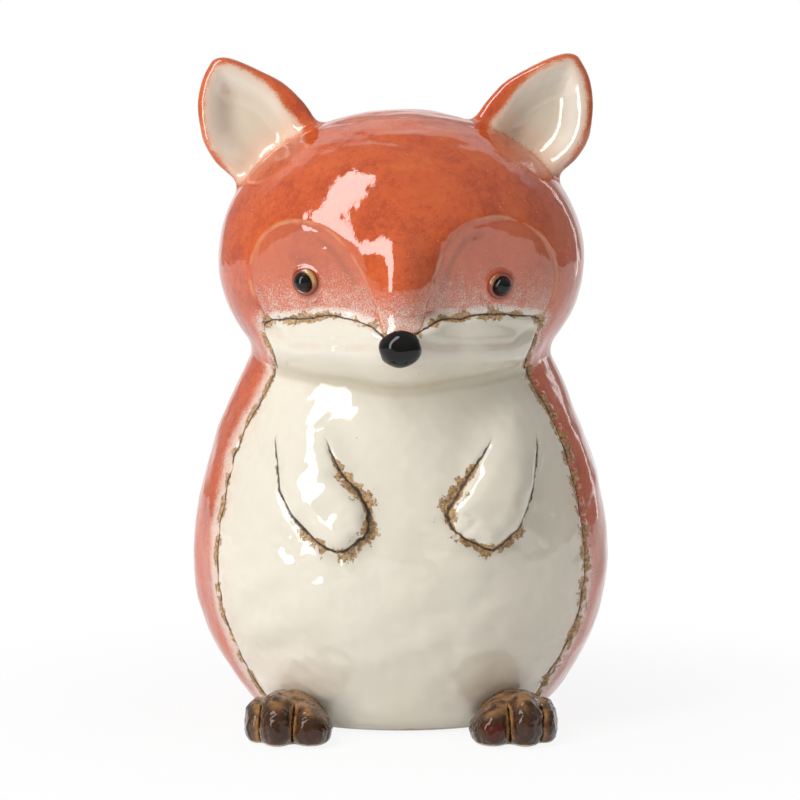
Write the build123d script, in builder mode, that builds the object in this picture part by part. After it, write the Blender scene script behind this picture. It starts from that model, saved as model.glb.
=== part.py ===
"""A hollow, hand-built stoneware fox ornament, in millimetres.

The fox sits upright on z = 0 and faces -Y, with +Z up. The origin is on the underside of its floor, in the
middle. Left and right are the fox's own sides, so its left is at +X.
"""

import math
import os

from build123d import *

# Clay walls
body_wall = 7.0
head_wall = 8.5
floor_thickness = 6.0
cut_overrun = 5.0

# Body: a pear, drawn as ellipses at shares of its height and width
body_half_width = 76.0
body_half_depth = 68.0
body_height = 150.0
body_profile_shares = [
    (0.0, 0.655),
    (0.035, 0.722),
    (0.095, 0.817),
    (0.21, 0.937),
    (0.39, 1.0),
    (0.56, 0.962),
    (0.72, 0.857),
    (0.89, 0.707),
    (1.0, 0.6),
]
foot_ring_share = body_profile_shares[0][1]
belly_width_share = 0.845

# Firing vent in the floor, behind the middle, and the vent between head and body
vent_radius = 5.0
vent_back = 18.0
neck_vent_radius = 7.0

# Clay coil in the inside corner of the neck
neck_coil_width = 9.0
neck_coil_rise = 5.5

# Head ball, its middle a little forward of the body's and above the body's top
head_half_width = 66.4
head_half_depth = 60.0
head_half_height = 53.5
head_rise = 16.0
head_forward = 4.0
head_height = body_height + head_rise
head_front = head_forward + head_half_depth

# Forehead ridge that runs down to the nose
ridge_half_width = 13.5
ridge_half_depth = 24.0
ridge_half_height = 26.0
ridge_sink = 17.5
ridge_drop = 11.0

# Thumbed hollows round the eyes
hollow_half_width = 68.0
hollow_half_depth = 30.0
hollow_half_height = 56.0
hollow_sink = 3.8
hollow_side = 31.0
hollow_drop = 4.0

# Eyes, seated in the hollows
eye_side = 34.6
eye_drop = 8.2
eye_sink = 2.6
eye_bead_radius = 3.3
eye_rim_radius = 4.2
eye_rim_thickness = 1.3

# Muzzle pad and snout
muzzle_width_share = 0.798
muzzle_half_depth = 56.0
muzzle_half_height = 20.0
muzzle_forward = 10.0
muzzle_drop = 29.0
snout_half_width = 18.0
snout_half_depth = 24.0
snout_half_height = 14.0
snout_sink = 15.0
snout_drop = 28.0

# Nose, seated on the tip of the snout
nose_half_width = 7.5
nose_half_depth = 6.4
nose_half_height = 6.7
nose_proud = 2.0
nose_drop = 0.5

# Ears: a leaf outline, across by along, at shares of its half width and its length above the root
ear_half_width = 20.5
ear_length = 41.4
ear_root_depth = 13.0
ear_thickness = 12.0
ear_scoop_depth = 7.0
ear_taper_half_width = 27.0
ear_taper_half_length = 50.0
ear_places = {
    "left": {"root_angle": 40.5, "root_skin_share": 0.935, "lean": 30.0},
    "right": {"root_angle": 43.1, "root_skin_share": 0.955, "lean": 33.5},
}
ear_outline_shares = [
    (0.98, 0.18),
    (1.0, 0.4),
    (0.82, 0.66),
    (0.48, 0.88),
    (0.06, 1.0),
    (-0.3, 0.9),
    (-0.62, 0.68),
    (-0.84, 0.36),
    (-0.9, 0.14),
]
ear_root_share = 0.86
ear_middle_share = 0.28
ear_back_share = 0.52
ear_rim_share = 0.97
ear_mouth_share = 0.93
ear_scoop_share = 0.52

# Forearms
arm_half_width = 17.0
arm_half_depth = 12.0
arm_half_length = 26.0
arm_side_share = 0.382
arm_sink = 13.5
arm_drop = 80.0
arm_splay = 18.0
arm_lean = 17.0

# Feet: an instep and three toes, from the inside out
instep_half_width = 13.0
instep_half_depth = 17.0
instep_half_height = 10.5
instep_side_share = 0.52
instep_reach = 3.0
instep_height = 5.5
toe_half_width = 7.9
toe_half_depth = 14.0
toe_half_height = 10.4
toe_reach = 9.5
toe_height = 5.6
toe_spacing = 12.0
toe_shift = 3.5
toe_shares = {
    "inner": {"spread_share": -1.0, "back_share": 0.0, "size_share": 1.0},
    "middle": {"spread_share": 0.0, "back_share": 0.03, "size_share": 0.97},
    "outer": {"spread_share": 0.46, "back_share": 0.26, "size_share": 0.8},
}

# Tail, laid up the back in two clays
tail_half_width = 19.0
tail_half_depth = 17.0
tail_half_length = 40.0
tail_sink = 7.0
tail_height = 50.0
tail_splay = 9.0
tail_tip_rise = 15.0

SIDES = {"left": 1, "right": -1}


def ellipsoid(half_sizes, centre=(0, 0, 0), turn=(0, 0, 0)):
    """A solid ellipsoid: a unit ball stretched to its half sizes, turned and put at its centre."""
    with BuildPart() as ball:
        Sphere(1)
        scale(by=half_sizes)
    return ball.part.moved(Location(centre, turn))


def pear(inset):
    """The body form, with its wall drawn in by the inset."""
    with BuildPart() as form:
        for height_share, width_share in body_profile_shares:
            with BuildSketch(Plane.XY.offset(height_share * body_height)):
                Ellipse(
                    width_share * body_half_width - inset,
                    width_share * body_half_depth - inset,
                )
        loft()
    return form.part


def head_ball(inset):
    """The head form, with its wall drawn in by the inset."""
    half_sizes = (head_half_width - inset, head_half_depth - inset, head_half_height - inset)
    return ellipsoid(half_sizes, (0, -head_forward, head_height))


def face_plane(side, rise, sink):
    """A plane on the front of the head ball, sunk below its skin, that faces straight out of it."""
    front_share = math.sqrt(1 - (side / head_half_width) ** 2 - (rise / head_half_height) ** 2)
    skin = Vector(side, -head_forward - front_share * head_half_depth, head_height + rise)
    outward = Vector(
        side / head_half_width**2,
        -front_share / head_half_depth,
        rise / head_half_height**2,
    ).normalized()
    return Plane(origin=skin - outward * sink, x_dir=(1, 0, 0), z_dir=outward)


# Forms that the pieces are cut to, so that neighbours meet face to face
body_form = pear(0)
body_hollow = pear(body_wall)
head_form = head_ball(0)
head_hollow = head_ball(head_wall)
ridge_form = ellipsoid(
    (ridge_half_width, ridge_half_depth, ridge_half_height),
    (0, ridge_sink - head_front, head_height - ridge_drop),
)
muzzle_height = head_height - muzzle_drop
muzzle_ball = ellipsoid(
    (muzzle_width_share * head_half_width, muzzle_half_depth, muzzle_half_height),
    (0, -muzzle_forward, muzzle_height),
)
snout_middle = (0, snout_sink - head_front, head_height - snout_drop)
snout_form = ellipsoid((snout_half_width, snout_half_depth, snout_half_height), snout_middle)
nose_form = ellipsoid(
    (nose_half_width, nose_half_depth, nose_half_height),
    (0, snout_middle[1] - snout_half_depth - nose_proud, snout_middle[2] - nose_drop),
)
thumb_forms = [
    ellipsoid((hollow_half_width, hollow_half_height, hollow_half_depth)).moved(
        face_plane(side * hollow_side, -hollow_drop, hollow_sink).offset(hollow_half_depth).location
    )
    for side in SIDES.values()
]

with BuildPart() as muzzle_form:
    add(muzzle_ball)
    add(snout_form)
    split(bisect_by=Plane.XZ.offset(muzzle_forward), keep=Keep.TOP)

with BuildPart() as belly_form:
    with BuildSketch(Plane.XZ):
        with BuildLine():
            half_outline = [
                (belly_width_share * width_share * body_half_width, height_share * body_height)
                for height_share, width_share in body_profile_shares
            ]
            left_edge = Spline(half_outline)
            right_edge = Spline([(-across, up) for across, up in half_outline])
            Line(left_edge @ 0, right_edge @ 0)
            Line(left_edge @ 1, right_edge @ 1)
        make_face()
    extrude(amount=body_half_depth + cut_overrun)
    split(bisect_by=Plane.XY.offset(muzzle_height), keep=Keep.BOTTOM)

with BuildPart() as head_skin:
    add(head_form)
    for thumb_form in thumb_forms:
        add(thumb_form, mode=Mode.SUBTRACT)
    add(ridge_form)


# Eyes: a bead in its socket, and a rolled lid round it
eyes = {}
for name, side in SIDES.items():
    seat = face_plane(side * eye_side, -eye_drop, eye_sink)
    with BuildPart(seat) as eye_bead:
        Sphere(eye_bead_radius)
    with BuildPart(seat) as rolled_lid:
        Torus(eye_rim_radius, eye_rim_thickness)
    with BuildPart() as eye_rim:
        add(rolled_lid.part)
        add(eye_bead.part, mode=Mode.SUBTRACT)
    eyes[f"{name}_eye_bead"] = eye_bead
    eyes[f"{name}_eye_rim"] = eye_rim


# Head
with BuildPart() as crown_shell:
    add(head_skin.part)
    add(head_hollow, mode=Mode.SUBTRACT)
    for eye in eyes.values():
        add(eye.part, mode=Mode.SUBTRACT)
    with Locations((0, 0, head_height - head_half_height)):
        Cylinder(neck_vent_radius, head_half_height, mode=Mode.SUBTRACT)

with BuildPart() as nose_bead:
    add(nose_form)
    add(head_skin.part, mode=Mode.SUBTRACT)

with BuildPart() as muzzle_pad:
    add(muzzle_form.part)
    add(head_skin.part, mode=Mode.SUBTRACT)
    add(nose_form, mode=Mode.SUBTRACT)


# Body
def body_wall_piece(belly_mode):
    """The body wall in front of the belly outline, or outside it, cut to the head and muzzle."""
    with BuildPart() as wall:
        add(body_form)
        add(body_hollow, mode=Mode.SUBTRACT)
        add(belly_form.part, mode=belly_mode)
        add(head_form, mode=Mode.SUBTRACT)
        add(muzzle_form.part, mode=Mode.SUBTRACT)
    return wall


coat_shell = body_wall_piece(Mode.SUBTRACT)
belly_panel = body_wall_piece(Mode.INTERSECT)

with BuildPart() as base_disc:
    add(body_hollow)
    split(bisect_by=Plane.XY.offset(floor_thickness), keep=Keep.BOTTOM)
    with Locations((0, vent_back, 0)):
        Hole(vent_radius)

neck_coil_core = pear(body_wall + neck_coil_width)
with BuildPart() as neck_coil:
    add(body_hollow)
    coil_base = Plane.XY.offset(head_height - head_half_height + neck_coil_rise)
    split(bisect_by=coil_base, keep=Keep.TOP)
    split(bisect_by=Plane.XY.offset(head_height), keep=Keep.BOTTOM)
    for form in (neck_coil_core, head_form, muzzle_form.part):
        add(form, mode=Mode.SUBTRACT)


# Ears
def leaf(shrink):
    """The ear's outline, drawn in towards its middle."""
    middle = ear_middle_share * ear_length
    root = ear_root_share * ear_half_width
    points = [(root, -ear_root_depth)]
    points += [(across * ear_half_width, up * ear_length) for across, up in ear_outline_shares]
    points += [(-root, -ear_root_depth)]
    with BuildLine(mode=Mode.PRIVATE) as edge:
        rim = Spline([(across * shrink, middle + (up - middle) * shrink) for across, up in points])
        Line(rim @ 0, rim @ 1)
    return edge.line


def ear(side, root_angle, root_skin_share, lean):
    """One cupped ear, rooted on the head. It is drawn upright with its outer edge at +X."""
    front = ear_thickness / 2
    cup_floor = front - ear_scoop_depth
    taper = ellipsoid((ear_taper_half_width, front, ear_taper_half_length))
    with BuildPart() as shell:
        for forward, shrink in ((-front, ear_back_share), (0, 1), (front, ear_rim_share)):
            with BuildSketch(Plane.XZ.offset(forward)):
                add(leaf(shrink))
                make_face()
        loft()
        add(taper, mode=Mode.INTERSECT)
        for forward, shrink in ((front, ear_mouth_share), (cup_floor, ear_scoop_share)):
            with BuildSketch(Plane.XZ.offset(forward)):
                add(leaf(shrink))
                make_face()
        loft(mode=Mode.SUBTRACT)
    upright = shell.part if side > 0 else shell.part.mirror(Plane.YZ)
    root_side = math.sin(math.radians(root_angle)) * head_half_width
    root_rise = math.cos(math.radians(root_angle)) * head_half_height
    root = (
        side * root_skin_share * root_side,
        -head_forward,
        head_height + root_skin_share * root_rise,
    )
    placed = upright.moved(Location(root, (0, side * lean, 0)))
    with BuildPart() as fitted:
        add(placed)
        add(head_form, mode=Mode.SUBTRACT)
    return fitted


ears = {f"{name}_ear": ear(side, **ear_places[name]) for name, side in SIDES.items()}


# Arms, luted on the belly
arms = {}
for name, side in SIDES.items():
    arm_form = ellipsoid(
        (arm_half_width, arm_half_depth, arm_half_length),
        (side * arm_side_share * body_half_width, arm_sink - body_half_depth, head_height - arm_drop),
        (-arm_lean, side * arm_splay, 0),
    )
    with BuildPart() as arm:
        add(arm_form)
        add(body_form, mode=Mode.SUBTRACT)
    arms[f"{name}_arm"] = arm


# Feet, cut flat where they stand
def foot_piece(form, neighbours):
    """One lump of a foot, cut flat at the ground, to the body and to the lumps beside it."""
    with BuildPart() as lump:
        add(form)
        split(bisect_by=Plane.XY, keep=Keep.TOP)
        for neighbour in neighbours:
            add(neighbour, mode=Mode.SUBTRACT)
    return lump


instep_side = instep_side_share * body_half_width
instep_forward = foot_ring_share * body_half_depth + instep_reach
feet = {}
for name, side in SIDES.items():
    instep_form = ellipsoid(
        (instep_half_width, instep_half_depth, instep_half_height),
        (side * instep_side, -instep_forward, instep_height),
    )
    instep = foot_piece(instep_form, [body_form])
    feet[f"{name}_instep"] = instep
    neighbours = [body_form, instep.part]
    for toe_name, share in toe_shares.items():
        toe_side = instep_side + toe_shift + share["spread_share"] * toe_spacing
        toe_forward = instep_forward + toe_reach - share["back_share"] * toe_half_depth
        toe_form = ellipsoid(
            (
                share["size_share"] * toe_half_width,
                share["size_share"] * toe_half_depth,
                share["size_share"] * toe_half_height,
            ),
            (side * toe_side, -toe_forward, share["size_share"] * toe_height),
        )
        toe = foot_piece(toe_form, neighbours)
        feet[f"{name}_toe_{toe_name}"] = toe
        neighbours.append(toe.part)


# Tail
tail_middle = (0, body_half_depth - tail_sink, tail_height)
tail_form = ellipsoid(
    (tail_half_width, tail_half_depth, tail_half_length),
    tail_middle,
    (0, tail_splay, 0),
)
tail_joint = Plane(Location(tail_middle, (0, tail_splay, 0))).offset(tail_tip_rise)


def tail_piece(keep):
    """The tail below its joint or above it, cut to the back."""
    with BuildPart() as piece:
        add(tail_form)
        split(bisect_by=tail_joint, keep=keep)
        add(body_form, mode=Mode.SUBTRACT)
    return piece


pieces = {
    "coat_shell": coat_shell,
    "belly_panel": belly_panel,
    "base_disc": base_disc,
    "neck_coil": neck_coil,
    "crown_shell": crown_shell,
    "muzzle_pad": muzzle_pad,
    "nose_bead": nose_bead,
    **ears,
    **eyes,
    **arms,
    **feet,
    "tail_brush": tail_piece(Keep.BOTTOM),
    "tail_tip": tail_piece(Keep.TOP),
}

os.makedirs("parts", exist_ok=True)
for name, piece in pieces.items():
    piece.part.label = name
    export_step(piece.part, f"parts/{name}.step")
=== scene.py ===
"""Clay, glazes and studio for the glazed stoneware fox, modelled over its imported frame.

The fox is hand built: pressed walls, a head ball and small lumps, luted and smoothed together, scored along
the joints, stained, and glazed in rust, cream and brown. So one clay form is modelled first, with every lump
worked into its neighbour, and the pieces are then parted from it along the real joints. Sizes in the clay
code are millimetres, as on the maker's sheet, and the meshes are metres. Left and right are the fox's own.
"""

import math
from functools import partial

import bpy
import numpy as np
from bpy.props import FloatProperty, FloatVectorProperty, PointerProperty
from mathutils import Matrix, Vector
from mathutils.bvhtree import BVHTree


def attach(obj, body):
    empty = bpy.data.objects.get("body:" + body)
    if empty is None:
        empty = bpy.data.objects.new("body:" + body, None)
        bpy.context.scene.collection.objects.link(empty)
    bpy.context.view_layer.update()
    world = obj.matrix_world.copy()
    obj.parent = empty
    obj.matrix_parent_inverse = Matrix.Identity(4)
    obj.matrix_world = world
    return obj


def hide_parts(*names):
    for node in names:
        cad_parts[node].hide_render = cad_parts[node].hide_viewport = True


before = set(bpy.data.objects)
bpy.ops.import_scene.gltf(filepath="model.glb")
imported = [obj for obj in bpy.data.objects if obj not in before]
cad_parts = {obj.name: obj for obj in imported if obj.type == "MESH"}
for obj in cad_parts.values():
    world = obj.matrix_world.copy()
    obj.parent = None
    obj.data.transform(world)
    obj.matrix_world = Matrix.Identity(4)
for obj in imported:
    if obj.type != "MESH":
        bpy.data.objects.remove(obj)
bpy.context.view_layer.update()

bl_info = {
    "name": "Glazed Fox Figurine",
    "version": (1, 0, 0),
    "blender": (4, 5, 0),
    "location": "View3D > Sidebar > Fox",
    "description": "Builds a hand-made glazed stoneware fox piece by piece, with its glazes and studio",
    "category": "Add Mesh",
}

MM = 0.001
SIDES = {"left": 1, "right": -1}

# Clay form, in millimetres
BODY_HALF_WIDTH = 76.0
BODY_HALF_DEPTH = 68.0
BODY_DEPTH_SHARE = BODY_HALF_DEPTH / BODY_HALF_WIDTH
BODY_HEIGHT = 150.0
BODY_HEIGHTS = [0.0, 5.25, 14.25, 31.5, 58.5, 84.0, 108.0, 133.5, BODY_HEIGHT]
BODY_WIDTHS = [49.8, 54.9, 62.1, 71.2, BODY_HALF_WIDTH, 73.1, 65.1, 53.7, 45.6]
BODY_PROFILE = np.polyfit(BODY_HEIGHTS, BODY_WIDTHS, 5)
BELLY_SEAM_ANGLE = 59.0
BELLY_SEAM_LOW = 3.2
BELLY_SEAM_HIGH = 8.0
SKIN_ROOM = 0.25
HUB_HALF = (42.8, 37.5)
HUB_RISE = 2.0
HEAD_MIDDLE = (0, -4, 166)
HEAD_HALF = (66.4, 60, 53.5)
RIDGE_MIDDLE = (0, -46.5, 155)
RIDGE_HALF = (13.5, 24, 26)
HOLLOW_SIDE = 31.0
HOLLOW_DROP = 4.0
HOLLOW_SINK = 3.8
HOLLOW_HALF = (68, 56, 30)
MUZZLE_MIDDLE = (0, -10, 137)
MUZZLE_HALF = (53, 56, 20)
SNOUT_MIDDLE = (0, -49, 138)
SNOUT_HALF = (18, 24, 14)
NOSE_MIDDLE = (-0.3, -75, 136.8)
NOSE_HALF = (7.2, 6.4, 6.4)
EYE_PLACES = {"left": (35.6, -9.1), "right": (-34.6, -7.8)}
EYE_SINK = 2.6
EYE_RIM_ROOM = 5.6
SOCKET_HALF = (4.6, 4.6, 4.6)
SOCKET_RISE = 3.4
BEAD_HALF = (3.3, 3.3, 3.4)
BEAD_RISE = 0.5
LID_RADIUS = 3.9
LID_HALF_THICKNESS = 0.95
EAR_ROOTS = {"left": (40.3, -4, 204.0), "right": (-44.0, -4, 203.0)}
EAR_LEANS = {"left": 32.5, "right": 33.5}
EAR_LENGTH = 41.4
EAR_HALF_THICKNESS = 6.4
EAR_THINNING = 2.6
EAR_EDGE_ROUND = 2.6
EAR_BOW = 2.2
EAR_LIP = 5.0
CUP_EDGE = 2.6
CUP_MIDDLE = 13.5
CUP_DEPTH = 7.2
CUP_SHALLOWING = 2.2
ARM_RISE = 7.0
ARM_FADE = 6.0
ARM_ROUND = 8.0
TAIL_MIDDLE = (0, 61, 50)
TAIL_HALF = (19, 17, 40)
TAIL_TURN = (0, 9, 0)
TAIL_TIP_RISE = 15.0
INSTEP_MIDDLE = (39.5, -51.5, 5.0)
INSTEP_HALF = (13.8, 17.0, 11.0)
TOES = {
    "inner": ((31.4, -61.0, 6.0), (8.0, 13.0, 8.8)),
    "middle": ((42.6, -61.5, 6.8), (6.8, 13.0, 10.2)),
    "outer": ((49.6, -56.0, 5.8), (4.8, 12.0, 8.4)),
}
# The plane that slopes the top of each foot down to the middle: a place on it and the way it faces
FOOT_SLOPE_PLACE = (36.0, 18.3)
FOOT_SLOPE = (-0.66, 0.75)
FOOT_LIFT = 0.1
# Middles and half sizes of the lumps that rough out the left forearm
ROUGH_ARM = (((27, -57, 80), (15, 12, 15)), ((36, -50, 98), (10, 9, 18)))
THIN_WALL = 1.6
# How widely each lump is smoothed into its neighbour
SOFT_WIDTHS = {
    "body top": 6.0,
    "body foot": 1.6,
    "muzzle back": 3.0,
    "snout": 7.0,
    "hollow": 4.0,
    "ridge": 6.0,
    "socket": 2.4,
    "muzzle": 2.6,
    "arm": 1.6,
    "arm top": 11.0,
    "tail": 3.5,
    "neck": 5.0,
    "ear": 4.5,
    "ear face": 2.0,
    "toes": 2.2,
    "foot slope": 3.0,
    "foot sole": 0.8,
}
PARTS = [
    "coat_shell",
    "belly_panel",
    "crown_shell",
    "muzzle_pad",
    "left_ear",
    "right_ear",
    "left_arm",
    "right_arm",
    "tail_brush",
    "tail_tip",
]
# Where a claw parts the end of a paw: along the front, across and up, on the fox's left and right
PAW_CLEFTS = [
    [(15.8, 77.8), (20.0, 79.2), (24.0, 79.8)],
    [(19.6, 72.2), (22.6, 74.6), (25.4, 77.4)],
    [(-11.2, 78.2), (-15.0, 79.6), (-19.0, 80.2)],
    [(-14.2, 70.6), (-16.8, 73.4), (-19.0, 76.6)],
]

# Outlines that are scored in the clay or edge a glaze, seen from the front: across and up, in millimetres
EAR_LEAF = [
    (15.5, -13), (17.5, -4), (18.5, 2.5), (20.5, 10), (20.5, 17), (19, 22.5), (14.5, 31), (9, 37),
    (3.5, 40.5), (0, EAR_LENGTH), (-4, 39), (-9.5, 31.5), (-15.5, 21), (-17.5, 13), (-18, 6.5), (-17, -3),
    (-15.5, -13),
]
MUZZLE_OUTLINE = [
    (0, 139.5), (7.5, 143), (13, 146), (17, 146.5), (21, 146), (24.5, 147), (33, 147.5), (45.5, 146),
    (49, 144.5), (48, 141), (44.5, 132), (44, 129), (40, 117), (20, 105), (0, 101), (-20, 105), (-40, 117),
    (-44, 127.5), (-45.5, 134), (-48, 139), (-48.5, 142.5), (-47, 144), (-43, 145), (-31.5, 146),
    (-28, 147), (-19, 146.5), (-11, 144.5), (-7, 141.5),
]
PATCH_OUTLINES = {
    "left": [
        (6, 142), (8, 147), (13.5, 165), (16, 171), (22, 177.5), (34.5, 180.5), (46, 176.5), (53.5, 166.5),
        (54, 155.5), (50, 145.5), (46, 138), (25, 134), (6, 137),
    ],
    "right": [
        (-48, 145.5), (-52.5, 158.5), (-50, 171), (-42, 178), (-31.5, 178.5), (-21.5, 172.5), (-13.5, 160.5),
        (-6.5, 143), (-6, 137), (-25, 134), (-45, 136),
    ],
}
ARM_OUTLINES = {
    "left": [
        (31, 104.5), (29, 100.5), (19.5, 87.5), (15.5, 81), (16, 77), (19, 72.5), (25.5, 69), (31.5, 66.5),
        (39, 71.5), (42, 75), (46, 86.5), (47.5, 96), (48, 104), (45, 112), (39, 115), (33.5, 111),
    ],
    "right": [
        (-26, 104.5), (-21.5, 95), (-13.5, 86.5), (-10.5, 80), (-11, 73), (-14.5, 69.5), (-22, 65.5),
        (-30.5, 70), (-38, 78), (-42.5, 87), (-44, 97), (-44.5, 104), (-41, 112), (-34.5, 115), (-28.5, 111),
    ],
}

# Studio, in metres and degrees: the camera stands a little above the face and looks slightly down
CAMERA_PLACE = (-0.0004, -0.9528, 0.1876)
CAMERA_TILT = 4.43
CAMERA_SENSOR = 36.0
FLOOR_SIZE = 8.0
FLOOR_DROP = 0.0004
LAMP_AIM = (0, 0, 0.12)
KEY_PLACE = (-0.70, -0.68, 0.80)
KEY_SIZE = (0.37, 1.7)
STRIP_PLACE = (0.88, 0.95, 0.40)
STRIP_SIZE = (0.10, 1.0)


class ClaySizes(bpy.types.PropertyGroup):
    """Sizes of the clay work."""

    grain: FloatProperty(
        name="Clay grain",
        description="Spacing of the points of the clay form",
        default=1.1 * MM,
        min=0.5 * MM,
        unit="LENGTH",
    )
    foot_grain: FloatProperty(
        name="Foot grain",
        description="Spacing of the points of the feet",
        default=0.6 * MM,
        min=0.3 * MM,
        unit="LENGTH",
    )
    wall: FloatProperty(
        name="Wall",
        description="Thickness of the pressed walls",
        default=4.0 * MM,
        min=1.0 * MM,
        unit="LENGTH",
    )
    unevenness: FloatProperty(
        name="Unevenness",
        description="How far the hand-pressed surface wanders",
        default=0.3 * MM,
        min=0.0,
        unit="LENGTH",
    )
    score_depth: FloatProperty(
        name="Score depth",
        description="Depth of the line scored along a joint",
        default=0.7 * MM,
        min=0.0,
        unit="LENGTH",
    )


def glaze_colour(name, description, default):
    """A colour that the maker can change."""
    return FloatVectorProperty(
        name=name, description=description, subtype="COLOR", default=default, min=0.0, max=1.0
    )


class GlazeColours(bpy.types.PropertyGroup):
    """Colours of the fired glazes."""

    rust: glaze_colour("Rust", "Red-orange glaze where it lies even", (0.62, 0.100, 0.021))
    rust_deep: glaze_colour("Deep rust", "Red-orange glaze where it pools", (0.46, 0.062, 0.014))
    rust_thin: glaze_colour("Thin rust", "Red-orange glaze where it breaks over an edge", (0.66, 0.17, 0.04))
    cream: glaze_colour("Cream", "Cream glaze", (0.80, 0.745, 0.63))
    ochre: glaze_colour("Ochre", "Cream glaze where it pools over brown stain", (0.56, 0.47, 0.33))
    stain: glaze_colour("Stain", "Iron stain rubbed into the scored lines", (0.022, 0.012, 0.008))
    amber: glaze_colour("Amber", "Dry crust beside the stained lines", (0.34, 0.165, 0.045))
    gold: glaze_colour("Gold", "Dry stain where it has flaked thin", (0.66, 0.40, 0.13))
    brown: glaze_colour("Brown", "Dark brown glaze of the feet", (0.052, 0.020, 0.008))
    honey: glaze_colour("Honey", "Brown glaze where it breaks over an edge", (0.50, 0.25, 0.09))


class StudioSizes(bpy.types.PropertyGroup):
    """Camera and light of the small studio."""

    lens: FloatProperty(
        name="Lens",
        description="Focal length of the camera",
        default=117.5,
        min=20.0,
        unit="CAMERA",
    )
    key_strength: FloatProperty(
        name="Key",
        description="Brightness of the tall soft box on the left of the view",
        default=6.6,
        min=0.0,
    )
    fill_strength: FloatProperty(
        name="Fill",
        description="Brightness of the pale room",
        default=0.42,
        min=0.0,
    )
    strip_strength: FloatProperty(
        name="Strip",
        description="Brightness of the narrow strip behind the fox on the right of the view",
        default=1.8,
        min=0.0,
    )


# Distances to the clay forms


def lump_gap(points, centre, half_sizes, turn=None):
    """Distance from points to an ellipsoid, below zero inside it."""
    local = points - np.asarray(centre, dtype=float)
    if turn is not None:
        local = local @ turn
    half = np.asarray(half_sizes, dtype=float)
    reach = np.sqrt(((local / half) ** 2).sum(1)) + 1e-9
    steepness = np.sqrt(((local / half**2) ** 2).sum(1)) + 1e-9
    return reach * (reach - 1.0) / steepness


def joined(first, second, soft):
    """The union of two forms, worked together over a soft width."""
    overlap = np.clip(soft - np.abs(first - second), 0.0, None) / soft
    return np.minimum(first, second) - overlap**2 * soft / 4.0


def shared(first, second, soft):
    """What two forms share, with a soft edge."""
    return -joined(-first, -second, soft)


def carved(first, second, soft):
    """The first form with the second pressed out of it."""
    return shared(first, -second, soft)


def eased(value, start, end):
    """0 at start, 1 at end, and smooth between them."""
    share = np.clip((value - start) / (end - start), 0.0, 1.0)
    return share * share * (3.0 - 2.0 * share)


def turned(degrees):
    """Axes of a lump turned about its own X, Y and Z in that order."""
    matrix = Matrix.Identity(3)
    for angle, axis in zip(degrees, "XYZ"):
        matrix = matrix @ Matrix.Rotation(math.radians(angle), 3, axis)
    return np.array(matrix)


def rounded_outline(corners, pieces=4):
    """A smooth closed line through corners, as short straight pieces."""
    corners = np.asarray(corners, dtype=float)
    line = []
    for index, start in enumerate(corners):
        before, end, after = (corners[(index + step) % len(corners)] for step in (-1, 1, 2))
        for step in range(pieces):
            share = step / pieces
            line.append(
                0.5
                * (
                    2 * start
                    + (end - before) * share
                    + (2 * before - 5 * start + 4 * end - after) * share**2
                    + (3 * start - before - 3 * end + after) * share**3
                )
            )
    return np.array(line)


LEAF_LINE = rounded_outline(EAR_LEAF)
MUZZLE_LINE = rounded_outline(MUZZLE_OUTLINE)
PATCH_LINES = [rounded_outline(outline) for outline in PATCH_OUTLINES.values()]
ARM_LINES = {name: rounded_outline(outline, pieces=2) for name, outline in ARM_OUTLINES.items()}


def line_gap(points, line, closed=True):
    """Distance from points to a line of straight pieces."""
    starts, ends = line, np.roll(line, -1, axis=0)
    if not closed:
        starts, ends = starts[:-1], ends[:-1]
    nearest = np.full(len(points), np.inf)
    for start, end in zip(starts, ends):
        run = end - start
        offset = points - start
        share = np.clip(offset @ run / (run @ run + 1e-12), 0.0, 1.0)
        nearest = np.minimum(nearest, ((offset - share[:, None] * run) ** 2).sum(1))
    return np.sqrt(nearest)


def inside(points, outline):
    """Which points lie inside an outline in its own plane."""
    within = np.zeros(len(points), dtype=bool)
    across, up = points[:, 0], points[:, 1]
    for start, end in zip(outline, np.roll(outline, -1, axis=0)):
        if start[1] == end[1]:
            continue
        spans = (start[1] > up) != (end[1] > up)
        crossing = start[0] + (up - start[1]) * (end[0] - start[0]) / (end[1] - start[1])
        within ^= spans & (across < crossing)
    return within


def outline_gap(points, outline):
    """Distance in its own plane from points to an outline, below zero inside."""
    gap = line_gap(points, outline)
    return np.where(inside(points, outline), -gap, gap)


def corner_gap(first, second):
    """Distance to the edge that two forms share, measured round it, from the distances to both."""
    outer = np.sqrt(np.clip(first, 0.0, None) ** 2 + np.clip(second, 0.0, None) ** 2)
    return outer + np.minimum(np.maximum(first, second), 0.0)


def ear_frame(name):
    """The ear's root and its own directions: outwards across, up and forwards, as columns."""
    side = SIDES[name]
    lean = math.radians(EAR_LEANS[name])
    across = (side * math.cos(lean), 0.0, -math.sin(lean))
    up = (side * math.sin(lean), 0.0, math.cos(lean))
    return np.array(EAR_ROOTS[name], dtype=float), np.array([across, up, (0.0, -1.0, 0.0)]).T


def ear_lip(local):
    """How much wider the ear's rim is towards the head and the root."""
    return EAR_LIP * eased(-local[:, 0], 0.0, 13.0) * eased(local[:, 1], 32.0, 6.0)


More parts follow.
